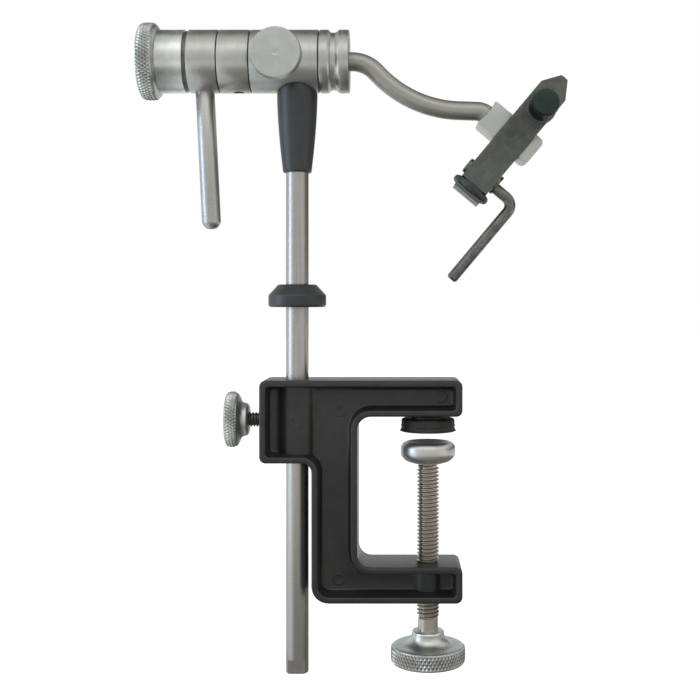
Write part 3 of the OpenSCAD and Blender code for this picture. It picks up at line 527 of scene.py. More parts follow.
@kept
def drum_metal():
    """Steel with the fine lines that a lathe leaves round the rotary axis."""
    finish = Finish("turned_steel", "steel", 1.0, 0.34, Anisotropic=0.4)
    finish.comb("X")
    round_axis = finish.along_and_out((0, 0, AXIS.z), "X")
    lines = finish.noise(round_axis, LATHE_LINE, detail=4.0, rough=0.7)
    finish.shade(finish.mix(lines, 0.6, finish.noise(finish.place, 7.0)), 0.82, 1.1)
    finish.roughen(finish.noise(round_axis, 0.5), 0.07, 0.1)
    finish.raise_by(lines, 0.0015)
    return finish.material


@kept
def knurled_metal(name="knurled_steel", centre=(0, 0, 0), axis="Z", roughness=0.36, tone=1.0, rim=0.0):
    """Steel of a knurled knob: a painted highlight on the crests, painted shade in the hollows, and lathe
    lines on the smooth parts.
    Outside the radius rim it is darker, as painted shade over the knurl, and inside lighter, as painted light
    on the smooth parts."""
    finish = Finish(name, "knurled", 1.0, roughness, tone)
    round_axis = finish.along_and_out(centre, axis)
    lines = finish.noise(round_axis, LATHE_LINE, detail=4.0, rough=0.7)
    # painted highlight on the crests and painted shade in the hollows
    crests = finish.with_crests(finish.mix(lines, 0.5, finish.noise(finish.place, 3.0, detail=4.0)), 4.0)
    # painted shade over the knurl outside the rim, painted light on the smooth parts inside it
    if rim:
        out = finish.split(round_axis)["Y"]
        crests = finish.math("ADD", crests, finish.spread(out, 0.1, -0.12, rim * MM, (rim + 0.5) * MM))
    finish.shade(crests, 0.35, 1.45)
    finish.roughen(finish.noise(finish.place, 0.35, detail=4.0), 0.07, 0.1)
    finish.raise_by(lines, 0.001)
    return finish.material


@kept
def polished_bar(name, colour_name, roughness):
    """Ground bar: fine rings round it, and faint drawn lines along it."""
    finish = Finish(name, colour_name, 1.0, roughness, Anisotropic=0.25)
    finish.comb("Z")
    rings = finish.noise(finish.place, 0.22, (30, 30, 1), 4.0, 0.65)
    finish.shade(finish.mix(rings, 0.4, finish.noise(finish.place, 0.9, (1, 1, 40))), 0.8, 1.12)
    return finish.grained(rings, 0.0008)


@kept
def blasted_metal(name, colour_name, roughness, grain_size, contrast, crest=1.5):
    """Metal blasted with fine beads: an even, frosted grain, with a painted highlight on raised edges and
    painted shade in hollows, as strong as crest.
    """
    finish = Finish(name, colour_name, 1.0, roughness)
    grain = finish.noise(finish.place, grain_size, detail=5.0, rough=0.65)
    mixed = finish.mix(finish.noise(finish.place, 5.0), 0.5, grain)
    # painted highlight on raised edges, painted shade in hollows
    finish.shade(finish.with_crests(mixed, crest), 1 - contrast, 1 + contrast)
    return finish.grained(grain, 0.005)


@kept
def cast_coat():
    """Black textured coat on the casting, worn a little lighter in patches."""
    finish = Finish("cast_black_coat", "casting", 0.0, 0.36, Specular_IOR_Level=0.46)
    fine = finish.noise(finish.place, 0.42, detail=5.0, rough=0.6)
    finish.shade(finish.mix(fine, 0.6, finish.noise(finish.place, 6.0, detail=4.0)), 0.5, 1.6)
    finish.raise_by(finish.noise(finish.place, 1.6, detail=2.0), 0.03)
    return finish.grained(fine, 0.05, 0.06, 0.1)


@kept
def black_oxide(name="black_oxide", colour_name="oxide", roughness=0.36, painted_edge_light=3.5):
    """Black oxide on ground steel: a green-grey film with brown clouds, lighter on its raised edges as a
    painted highlight and darker in its hollows as painted shade.
    """
    finish = Finish(name, colour_name, 0.8, roughness, Specular_IOR_Level=0.4)
    cloud = finish.noise(finish.place, 4.0, detail=5.0, rough=0.6)
    brown = [c * share for c, share in zip(finish.base, (1.15, 1.03, 0.98))]
    # painted highlight on raised edges, painted shade in hollows
    finish.shade(finish.with_crests(cloud, painted_edge_light), 0.6, 1.6, brown)
    finish.roughen(finish.noise(finish.place, 1.2), 0.05, 0.05)
    if painted_edge_light:
        finish.raise_by(finish.noise(finish.place, 0.5, detail=2.0), 0.002)
    return finish.material


@kept
def satin_plastic():
    """Satin black, with the faint pebble of a moulded or coated part."""
    finish = Finish("satin_black", "plastic", 0.0, 0.46, Specular_IOR_Level=0.55)
    finish.shade(finish.noise(finish.place, 8.0), 0.85, 1.2)
    return finish.grained(finish.noise(finish.place, 0.3), 0.004, 0.06, 0.06)


@kept
def rubber(name, colour_name, roughness, grain_size, grain_height=0.006):
    """Matt rubber with a fine pebble and a little dust."""
    finish = Finish(name, colour_name, 0.0, roughness, Specular_IOR_Level=0.3)
    finish.shade(finish.noise(finish.place, 3.5, detail=5.0), 0.8, 1.6)
    return finish.grained(finish.noise(finish.place, grain_size, detail=4.0), grain_height, 0.08, 0.08)


@kept
def soft_metal(name, colour_name, roughness):
    """Brass or bronze of the hidden tips and bushings."""
    finish = Finish(name, colour_name, 1.0, roughness)
    finish.shade(finish.noise(finish.place, 2.5), 0.8, 1.1)
    return finish.grained(finish.noise(finish.place, 0.3, detail=4.0), 0.004)


@kept
def screw_metal(thread_bottom):
    """Steel of the clamp screw: brownish and darker on the thread, with painted shade in its grooves and a
    painted highlight on its crests, and lighter on the plain end below it.
    """
    finish = Finish("screw_steel", "screw", 1.0, 0.34)
    grain = finish.noise(finish.place, 0.5, detail=5.0, rough=0.65)
    start, end = (thread_bottom - 0.4) * MM, (thread_bottom + 0.2) * MM
    plain = finish.spread(finish.split(finish.place)["Z"], 0.35, 0.0, start, end)
    # painted shade in the thread's grooves and painted highlight on its crests, over the grain
    grain_and_painted_groove_shade = finish.math("MULTIPLY", finish.with_crests(grain, 7.0), 0.5)
    brown = (0.42, 0.39, 0.33)
    finish.shade(finish.math("ADD", finish.math("ADD", grain_and_painted_groove_shade, plain), 0.12), 0.8, 1.4, brown)
    return finish.grained(grain, 0.005)


@kept
def dished_metal():
    """Turned steel of the pressure head: glossier outside, rougher in its dish, and painted lighter in the
    dish as painted light.
    """
    finish = Finish("polished_head", "steel", 1.0, 0.3)
    round_axis = finish.along_and_out((0, 0, 0), "Z")
    out, dish, rim = finish.split(round_axis)["Y"], 7.7 * MM, 9.0 * MM
    lines = finish.noise(round_axis, 0.2, detail=4.0, rough=0.7)
    # lathe lines, with painted light lightening the dish more than the outside
    lines_and_painted_dish_light = finish.math("ADD", finish.math("MULTIPLY", lines, 0.3), finish.spread(out, 0.6, 0.3, dish, rim))
    finish.shade(lines_and_painted_dish_light, 0.75, 1.9)
    finish.set(finish.shader, "Roughness", finish.spread(out, 0.6, 0.4, dish, rim))
    finish.raise_by(lines, 0.0015)
    return finish.material


# Pieces

class ViseOperator(bpy.types.Operator):
    """A step that builds pieces of the vise."""
    bl_options = {"REGISTER", "UNDO"}


class VISE_OT_casting(ViseOperator):
    """Build the cast C-frame, with rounded rims, drafted recesses, bosses and ejector marks"""
    bl_idname = "vise.casting"
    bl_label = "Clamp Casting"

    def execute(self, context):
        sizes = context.scene.vise_clamp
        half, bottom, top = high("clamp_frame").y, low("clamp_frame").z, high("clamp_frame").z
        foot, inner = sizes.rim + sizes.inner_edge + sizes.draft, sizes.inner_edge
        steps = [(0, 0), (0, half - sizes.edge)]
        steps += arc((sizes.edge, half - sizes.edge), sizes.edge, 157.5, 90, 3)
        steps += [(sizes.rim + inner * math.sin(a), half - inner * (1 - math.cos(a)))
                  for a in (math.radians(d) for d in (0, 30, 60, 85))]
        steps += arc((foot + sizes.fillet, WEB + sizes.fillet), sizes.fillet, 180, 270, 3)
        mark = below(sizes.mark_r, [(0, -0.6), (0, 0.02), (0.12, 0.1), (0.5, 0.12), (0.7, 0.05)])
        bosses = (
            (POST_X, 8.5, bottom + 57.7, top - 1.6),    # round the post: X, radius, lower and upper end
            (0.0, 6.6, bottom + 1.2, -56.0),            # round the clamp screw
        )
        marks = ((-36.7, 8.9, WEB), (5.5, 14.8, WEB), (-37.3, -61.5, WEB), (-55.2, 4.2, 8.43))  # X, Z, Y
        shape = Shape()
        for side, axis in ((-1, "-Y"), (1, "Y")):
            shape.loft([[(x, side * y, z) for x, z in self.outline(inset, sizes.recess_r)]
                        for inset, y in steps], caps=(False, True))
            for boss in bosses:
                self.boss(shape, *boss, side, sizes.boss_fillet)
            for x, z, depth in marks:
                shape.turned(mark, 40, pointing((x, side * depth, z), axis))
        pad_neck = [(8.6, 7.4)] + arc((8.75, 6.1), 1.0, 90, 180, 5) + [(7.75, 5.3)]
        shape.turned(pad_neck, 64)
        new_piece(shape, "clamp_casting", "clamp", cast_coat(), "cast_black", ("clamp_frame",), 36)
        return {"FINISHED"}

    @staticmethod
    def outline(inset, recess_r):
        """The cast frame's outline in X and Z, drawn in by inset on every side."""
        left, right = low("clamp_frame").x + inset, high("clamp_frame").x - inset
        top, bottom = high("clamp_frame").z - inset, low("clamp_frame").z + inset
        arm, floor, block = 7.1 + inset, -54.8 - inset, -12.1 + inset
        spine_l, spine_r = -48.3 + inset, -29.4 - inset
        outer = 2.6 + (recess_r - 2.6) * min(1.0, inset / 2)
        throat, heel, behind_post = 5.5 + inset, 7.0 - inset * 0.8, 3.9 + inset
        return rounded([
            (left, top, outer), (right, top, outer), (right, arm, outer), (spine_r, arm, throat),
            (spine_r, floor, throat), (right, floor, outer), (right, bottom, outer), (spine_l, bottom, heel),
            (spine_l, block, behind_post), (left, block, outer),
        ])

    @staticmethod
    def boss(shape, x, r, z0, z1, side, fillet):
        """Half of an upright boss that grows out of the web with a fillet."""
        rise = WEB + fillet
        reach = math.sqrt((r + fillet) ** 2 - rise ** 2)
        lean = math.degrees(math.atan2(rise, reach))
        row = arc((-reach, rise), fillet, -90, -lean, 6) + arc((0, 0), r, 180 - lean, lean, 28)
        row += arc((reach, rise), fillet, 180 + lean, 270, 6) + [(reach, 0), (-reach, 0)]
        shape.loft([[(x + a, side * b, z) for a, b in row] for z in (z0, z1)])


class VISE_OT_clamp_pad(ViseOperator):
    """Build the rubber pad under the upper arm, with its soft lip"""
    bl_idname = "vise.clamp_pad"
    bl_label = "Clamp Pad"

    def execute(self, context):
        top = high("clamp_pad").z
        rows = [(DOT, 0), (10.6, 0), (11.3, 0.06), (11.78, 0.3), (11.84, 0.5), (11.6, 0.75), (11.3, 1.1),
                (11.22, 1.9), (11.36, 2.3), (11.42, 2.5), (11.26, 2.75), (11.2, 3.4), (11.2, top - 0.7),
                (11.05, top - 0.3), (10.7, top - 0.06), (10.3, top), (DOT, top)]
        turned_piece(rows, context.scene.vise_turning.sides, UP, CLOSED, "clamp_rubber_pad", "clamp",
                     rubber("pad_rubber", "rubber", 0.62, 0.5), "pad_rubber", ("clamp_pad",), 50)
        return {"FINISHED"}


class VISE_OT_pressure_head(ViseOperator):
    """Build the polished pressure head, with its dish and well"""
    bl_idname = "vise.pressure_head"
    bl_label = "Pressure Head"

    def execute(self, context):
        base, r = low("pressure_head").z, high("pressure_head").x
        h = high("pressure_head").z - base
        dish, well = h - 2.2, h - 4.4
        rows = tube_rows([
            (3.15, 0.3, 0.0), (5.4, 0.3, 0.8), (0.82 * r, 1.6, 4.0), (r, h * 0.4, 3.0), (r, h, 3.05),
            (8.15, h, 0.6), (5.95, dish, 1.0), (4.3, dish, 0.25), (4.3, well, 0.0), (3.15, well, 0.0),
        ], base)
        turned_piece(rows, context.scene.vise_turning.sides, UP, OPEN, "pressure_head_turned",
                     "pressure_head", dished_metal(), "turned_steel", ("pressure_head",), 38)
        return {"FINISHED"}


class VISE_OT_clamp_screw(ViseOperator):
    """Build the clamp screw with its true helical thread, and its diamond-knurled knob"""
    bl_idname = "vise.clamp_screw"
    bl_label = "Clamp Screw"

    def execute(self, context):
        thread, knurl = context.scene.vise_thread, context.scene.vise_knurl
        bottom, top, head = low("clamp_screw").z, high("clamp_screw").z, low("pressure_head").z
        thread_top, thread_bottom = head - 0.3, head - 64.3
        screw_d, plain_r, pivot_r = 9.4, 4.2, 3.05
        shape = Shape()
        shape.thread(screw_d, thread.clamp_pitch, thread_bottom, thread_top, thread)
        shape.turned([(plain_r, bottom + 0.1), (plain_r, thread_bottom - 0.3),
                      (3.6, thread_bottom + 0.4)], 64)
        shape.turned([(pivot_r, thread_top - 0.5), (pivot_r, top - 1.0), (3.68, top - 1.0),
                      (3.68, top - 0.45), (3.45, top - 0.12), (3.0, top), (1.3, top), (0.9, top - 0.2),
                      (DOT, top - 0.25)], 64)
        new_piece(shape, "clamp_screw_threaded", "clamp_screw", screw_metal(thread_bottom), "screw_steel",
                  ("clamp_screw",), 30)

        base, r = low("clamp_knob").z, high("clamp_knob").x
        rows = [(DOT, 0.45), (1.45, 0.4), (1.5, 0)] + below(r, [(1.7, 0), (1.0, 0.15)])
        rows += knurled(r, [(0.75, 0.3), (0.1, 1.0), (0, 2.4), (0, 3.8), (0, 5.2), (0.1, 6.6), (0.7, 7.2)],
                        knurl.depth)
        rows += below(r, [(1.1, 7.42), (1.7, 7.58), (2.5, 7.64)]) + [(12.4, 7.7)]
        rows += arc((11.8, 12.7), 5.0, -86, -178, 16) + arc((5.85, 12.6), 1.0, 0, 90, 5) + [(4.21, 13.6)]
        # the rim paints shade over the knurl and light on the smooth top
        steel = knurled_metal("clamp_knob_steel", (0, 0, 0), "Z", 0.38, 1.08, r - 1.3)
        place = Matrix.Translation((0, 0, base))
        turned_piece(rows, 2 * knurl.clamp_teeth, place, CLOSED, "clamp_knob_knurled", "clamp_screw",
                     steel, "knurled_steel", ("clamp_knob",), KNURL_ANGLE)
        return {"FINISHED"}


class VISE_OT_thumbscrew(ViseOperator):
    """Build the black stud that locks the post, and its knurled knob"""
    bl_idname = "vise.thumbscrew"
    bl_label = "Thumbscrew"

    def execute(self, context):
        thread, knurl = context.scene.vise_thread, context.scene.vise_knurl
        inner, outer = high("post_thumbscrew").x, low("post_thumbscrew_knob").x
        axis_z = middle("post_thumbscrew_knob").z
        stud_d, run = 6.35, inner - outer - 3.2     # it ends inside the knob
        shape = Shape()
        shape.thread(stud_d, thread.fine_pitch, 0, run, thread, pointing((inner, 0, axis_z), "-X"))
        new_piece(shape, "thumbscrew_stud", "post_thumbscrew", black_oxide(), "black_oxide",
                  ("post_thumbscrew",), 30)

        r = high("post_thumbscrew_knob").z - axis_z
        rows = [(DOT, 0.45), (1.45, 0.4), (1.5, 0)] + below(r, [(2.1, 0), (1.5, 0.12)])
        teeth = [(1.05, 0.3), (0.3, 0.9), (0, 2.1), (0, 3.3), (0.5, 4.45), (1.4, 5.3)]
        rows += knurled(r, teeth, knurl.depth)
        rows += below(r, [(2.2, 5.75), (3.2, 6.1), (3.9, 6.4), (4.4, 6.85), (4.7, 7.4), (4.85, 8.1),
                          (5.0, 8.8), (5.35, 9.25), (6.1, 9.6), (6.9, 9.7)]) + [(3.1, 9.7)]
        # the rim paints shade over the knurl and light on the smooth hub
        steel = knurled_metal("thumb_knob_steel", (0, 0, axis_z), "X", 0.44, 1.0, r - 2.1)
        turned_piece(rows, 2 * knurl.thumb_teeth, pointing((outer, 0, axis_z), "X"), CLOSED,
                     "thumbscrew_knob_knurled", "post_thumbscrew", steel, "knurled_steel",
                     ("post_thumbscrew_knob",), KNURL_ANGLE)
        return {"FINISHED"}


class VISE_OT_post(ViseOperator):
    """Build the post with its milled foot, the stop collar and the tapered sleeve"""
    bl_idname = "vise.post"
    bl_label = "Post, Collar and Sleeve"

    def execute(self, context):
        sides = context.scene.vise_turning.sides
        foot, top, r = low("post").z, high("post").z, POST_R
        rows = [(r - 0.5, foot), (r - 0.12, foot + 0.15), (r, foot + 0.5), (r, top - 0.4), (r - 0.4, top)]
        post = turned_piece(rows, sides, AT_POST, CLOSED, "post_bar", "head",
                            polished_bar("post_steel", "post", 0.34), "post_steel", ("post",))
        wide, flat_y = 9, 1.6 - r
        corners = [(-wide, -wide), (wide, -wide), (wide, flat_y), (-wide, flat_y)]
        flat = Shape()
        flat.loft([[(POST_X + x, y, z) for x, y in corners] for z in (foot - 1, foot + 6)])
        drill(post, flat)

        z0, h = low("stop_collar").z, high("stop_collar").z - low("stop_collar").z
        r, bore = high("stop_collar").x - POST_X, POST_BORE_R
        rows = tube_rows([(bore, 0, 0.0), (r, 0, 1.3), (r, 5.0, 1.5), (8.0, h, 0.8), (bore, h, 0.0)], z0)
        collar = turned_piece(rows, sides, AT_POST, OPEN, "stop_collar_turned", "stop_collar",
                              satin_plastic(), "black_plastic", ("stop_collar",))
        drill(collar, plug(SMALL_SET_SCREW_D, pointing((POST_X, 4.0, z0 + 2.5), "Y")))
        self.sleeve(sides)
        return {"FINISHED"}

    @staticmethod
    def sleeve(sides):
        """The tapered sleeve, whose top fits the round of the drum."""
        foot, neck_r, reach, rise = low("post_sleeve").z, 6.0, 8.5, 32
        rows = [(POST_BORE_R, foot + 0.3), (4.9, foot + 0.05), (5.4, foot), (5.75, foot + 0.1)]
        rows += [(neck_r + (reach - neck_r) * (1 - (1 - t) ** 1.6), foot + 0.4 + rise * t)
                 for t in (i / 24 for i in range(25))]
        loops = [[(r * math.cos(t), r * math.sin(t), z) for t in angles(sides)] for r, z in rows]
        for r, drop in ((reach, 0.62), (reach - 0.08, 0.3), (reach - 0.3, 0.08), (reach - 0.65, -0.04),
                        (POST_BORE_R, -0.04)):
            loops.append([(r * math.cos(t), r * math.sin(t),
                           AXIS.z - math.sqrt((DRUM_R + 0.05) ** 2 - (r * math.sin(t)) ** 2) - drop)
                          for t in angles(sides)])
        shape = Shape()
        shape.loft(loops, AT_POST, OPEN)
        new_piece(shape, "sleeve_tapered", "head", satin_plastic(), "black_plastic", ("post_sleeve",), 40)


class VISE_OT_drum(ViseOperator):
    """Build the drum's turned rings and the grooved front collar"""
    bl_idname = "vise.drum"
    bl_label = "Drum Rings"

    @staticmethod
    def ring(name, node, body, bore, turning, outside=None):
        """One ring of the drum, with slightly rounded edges. Its width goes to outside, which may give
        the rows between its two faces."""
        edge, w, r = turning.edge, high(node).x - low(node).x, DRUM_R
        rows = [(bore, 0)] + below(r, [(1.6 * edge, 0), (0.4 * edge, 0.25 * edge), (0, edge)])
        rows += outside(w, edge) if outside else below(r, [(0, w - edge), (0.4 * edge, w - 0.25 * edge)])
        rows += [(r - 1.6 * edge, w), (bore, w), (bore, 0)]
        return turned_piece(rows, turning.sides, pointing((low(node).x, 0, AXIS.z), "X"), OPEN, name, body,
                            drum_metal(), "turned_steel", (node,))

    @staticmethod
    def groove(w, edge):
        """The front collar's outside, with the groove that takes a material spring."""
        back, front = w - 8.6, w - 4.2
        return below(DRUM_R, [
            (0, back - 0.35), (0.1, back - 0.1), (1.02, back + 0.8), (1.17, back + 0.95), (1.2, back + 1.2),
            (1.2, front - 1.6), (1.17, front - 1.4), (1.05, front - 1.25), (0.1, front), (0, front + 0.2),
            (0, w - 1.5 * edge), (0.5 * edge, w - 0.5 * edge),
        ])

    def execute(self, context):
        turning = context.scene.vise_turning
        self.ring("housing_ring", "rotary_housing", "head", 8.0, turning)
        self.ring("crank_ring_turned", "crank_ring", "crank", 5.05, turning)
        rear = self.ring("rear_ring_turned", "rear_ring", "rotor", 5.0, turning)
        drill(rear, plug(SET_SCREW_D, pointing((middle("rear_ring_set_screw").x, 0, AXIS.z - 5.2), "-Z")))
        collar = self.ring("front_collar_grooved", "front_collar", "rotor", 3.95, turning, self.groove)
        drill(collar, plug(SMALL_SET_SCREW_D, pointing((middle("stem_set_screw").x, 4.2, AXIS.z), "Y")))
        return {"FINISHED"}


class VISE_OT_rear_knob(ViseOperator):
    """Build the large knurled rear knob and its smooth collar"""
    bl_idname = "vise.rear_knob"
    bl_label = "Rear Knob"

    def execute(self, context):
        knurl, edge = context.scene.vise_knurl, context.scene.vise_turning.edge
        x0, r = low("rear_knob").x, high("rear_knob").z - AXIS.z
        w, bore = high("rear_knob").x - x0, 5.0
        rows = [(DOT, 0.5), (1.45, 0.4), (1.5, 0)] + below(r, [(2.4, 0), (1.7, 0.12)])
        teeth = [(1.2, 0.3), (0.45, 0.75), (0.1, 1.9), (0, 3.2), (0, 4.5), (0.1, 5.7), (0.75, 6.5)]
        rows += knurled(r, teeth, knurl.depth)
        rows += below(r, [(0.95, 6.75), (1.3, 7.1), (1.9, 7.4), (2.4, 7.6)])
        rows += below(DRUM_R, [(-0.35, 7.72), (-0.1, 7.85), (0, 8.1), (0, w - edge),
                               (0.4 * edge, w - 0.25 * edge), (1.6 * edge, w)])
        rows += [(bore, w), (bore, w - 11.2)]
        # the rim paints shade over the knurl and light on the smooth collar
        steel = knurled_metal("rear_knob_steel", (0, 0, AXIS.z), "X", 0.34, 1.0, r - 1.8)
        knob = turned_piece(rows, 2 * knurl.rear_teeth, pointing((x0, 0, AXIS.z), "X"), CLOSED,
                            "rear_knob_knurled", "rotor", steel, "knurled_steel", ("rear_knob",), KNURL_ANGLE)
        hole = Matrix.Translation((middle("rear_knob_set_screw").x, 0, AXIS.z))
        hole = hole @ Matrix.Rotation(math.radians(18), 4, "X") @ Matrix.Translation((0, 0, 5.2))
        drill(knob, plug(SET_SCREW_D, hole), KNURL_ANGLE)
        return {"FINISHED"}


class VISE_OT_lock_knob(ViseOperator):
    """Build the lock knob, with its frosted face and fine knurl"""
    bl_idname = "vise.lock_knob"
    bl_label = "Lock Knob"

    def execute(self, context):
        knurl, x, back = context.scene.vise_knurl, middle("lock_knob").x, high("lock_knob").y
        r, t = high("lock_knob").x - x, back - low("lock_knob").y
        rows = [(3.0, 0.0)] + below(r, [(1.2, 0), (0.75, 0.12)])
        teeth = [(0.6, 0.2), (0, 0.8), (0, 1.9), (0, 3.0), (0, 4.1), (0.1, t - 0.35), (0.6, t - 0.03)]
        rows += knurled(r, teeth, knurl.depth)
        rows += below(r, [(0.75, t), (0.9, t), (1.3, t)])
        rows += [(1.7, t), (1.5, t), (1.35, t - 0.03), (1.15, t - 0.1), (0.8, t - 0.14), (DOT, t - 0.15)]
        frosted = blasted_metal("lock_knob_steel", "knurled", 0.42, 0.3, 0.14, 0.0)
        turned_piece(rows, 2 * knurl.lock_teeth, pointing((x, back, AXIS.z), "-Y"), CLOSED,
                     "lock_knob_knurled", "lock_knob", frosted, "knurled_steel", ("lock_knob",), KNURL_ANGLE)
        return {"FINISHED"}


class VISE_OT_crank_rod(ViseOperator):
    """Build the crank rod, with its rounded end"""
    bl_idname = "vise.crank_rod"
    bl_label = "Crank Rod"

    def execute(self, context):
        lean, r, end = math.radians(2.8), 3.97, 57.6
        place = Matrix.Translation((middle("crank_ring").x, 0, AXIS.z - DRUM_R))
        rows = below(r, [(0.2, -5.5), (0, -5.2), (0, end - 3.2), (0.12, end - 2.6), (0.4, end - 1.9),
                         (0.85, end - 1.2), (1.5, end - 0.6), (2.3, end - 0.22), (3.2, end - 0.04)])
        turned_piece(rows + [(DOT, end)], 96, place @ Matrix.Rotation(math.pi - lean, 4, "Y"), CLOSED,
                     "crank_rod_turned", "crank", polished_bar("rod_steel", "rod", 0.36), "post_steel",
                     ("crank_rod",), 34)
        return {"FINISHED"}


class VISE_OT_stem(ViseOperator):
    """Build the bent stem as one smooth round bar"""
    bl_idname = "vise.stem"
    bl_label = "Stem"

    def execute(self, context):
        shape = Shape()
        shape.swept(self.stations(), 3.95, 64)
        new_piece(shape, "stem_bar", "rotor", blasted_metal("stem_steel", "stem", 0.43, 0.25, 0.1),
                  "stem_steel", ("stem",), 40)
        return {"FINISHED"}

    @staticmethod
    def stations():
        """Places and headings along the stem's bends, from inside the collar to inside the holder."""
        place, heading, step = Vector((high("front_collar").x + 1.0, AXIS.z)), 0.0, 2.5
        stations = [(Vector((low("stem").x, AXIS.z)), 0.0)]
        for r, turn, run in ((14, 46, 2), (49, -44, 8), (6.5, 38, 7.9)):    # bend radius, degrees, straight
            steps = math.ceil(abs(turn) / step)
            side = math.copysign(1, turn)
            for i in range(steps + 1):
                at = heading + math.radians(turn * i / steps)
                offset = Vector((math.sin(at) - math.sin(heading), math.cos(at) - math.cos(heading)))
                stations.append((place + side * r * offset, at))
            place, heading = stations[-1]
            place = place + run * Vector((math.cos(heading), -math.sin(heading)))
        return stations + [(place, heading)]


class VISE_OT_jaws(ViseOperator):
    """Build the jaw holder and the two jaws with broken edges"""
    bl_idname = "vise.jaws"
    bl_label = "Jaws and Holder"

    def execute(self, context):
        turning = context.scene.vise_turning
        # the blasted finish paints a highlight on the holder's bevelled edges
        frosted = blasted_metal("blasted_metal", "blasted", 0.42, 0.22, 0.06)
        dressed("jaw_holder", "jaw_holder_block", "rotor", frosted, turning.holder_edge)
        # the oxide paints a highlight on the jaws' bevelled edges
        dressed("jaw_rear", "rear_jaw", "rotor", black_oxide(), turning.jaw_edge)
        dressed("jaw_front", "front_jaw", "jaw_front", black_oxide(), turning.jaw_edge)
        return {"FINISHED"}


class VISE_OT_adjuster(ViseOperator):
    """Build the adjusting knob, with straight teeth and a flat face"""
    bl_idname = "vise.adjuster"
    bl_label = "Jaw Adjuster"

    def execute(self, context):
        near, far, centre = low("jaw_adjust_knob"), high("jaw_adjust_knob"), middle("jaw_adjust_knob")
        r, t, tooth_depth = far.x - centre.x, far.y - near.y, 0.36
        sides, loops = 4 * context.scene.vise_knurl.adjust_teeth, []
        for radius, z, share in (
            (2.42, 0.0, 0), (r - 1.1, 0.0, 0), (r - 0.6, 0.15, 0), (r - 0.3, 0.5, 0.3), (r, 0.9, 1),
            (r, t - 1.1, 1), (r - 0.3, t - 0.6, 0.6), (r - 0.62, t - 0.3, 0), (r - 0.72, t - 0.08, 0),
            (r - 1.0, t, 0), (DOT, t, 0),
        ):
            radii = [radius - (tooth_depth * share if i % 4 > 1 else 0.0) for i in range(sides)]
            loops.append([(a * math.cos(turn), a * math.sin(turn), z)
                          for a, turn in zip(radii, angles(sides))])
        shape = Shape()
        shape.loft(loops, pointing((centre.x, far.y, centre.z), "-Y"))
        # strong painted highlight on the teeth's crests and painted shade between them
        oxide = black_oxide("adjuster_oxide", "adjuster", 0.42, 8.0)
        new_piece(shape, "adjusting_knob", "jaw_adjuster", oxide, "black_oxide", ("jaw_adjust_knob",), 30)
        return {"FINISHED"}


class VISE_OT_plain_nodes(ViseOperator):
    """Give the remaining pieces of the frame their finishes"""
    bl_idname = "vise.plain_nodes"
    bl_label = "Finishes"

    def execute(self, context):
        finishes = (
            (soft_metal("brass_tip", "brass", 0.32), "post_thumbscrew_tip lock_plug"),
            (soft_metal("bronze_bushing", "bronze", 0.4), "front_bushing rear_bushing"),
            (black_oxide(), "stop_collar_set_screw stem_set_screw rear_ring_set_screw rear_knob_set_screw "
                            "jaw_screws jaw_adjust_screw"),
            (satin_plastic(), "front_thrust_washer rear_thrust_washer crank_washer"),
            (black_oxide("lever_oxide", "lever", 0.34, 0.0), "cam_lever"),
            (black_oxide("washer_oxide", "lever", 0.4, 0.0), "drag_washer"),
            (drum_metal(), "spindle"),
            (knurled_metal(), "lock_screw"),
            (rubber("ring_rubber", "ring", 0.42, 0.8, 0.001), "jaw_o_ring"),
        )
        for finish, nodes in finishes:
            for node in nodes.split():
                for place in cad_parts[node].material_slots:
                    place.material = finish
        return {"FINISHED"}


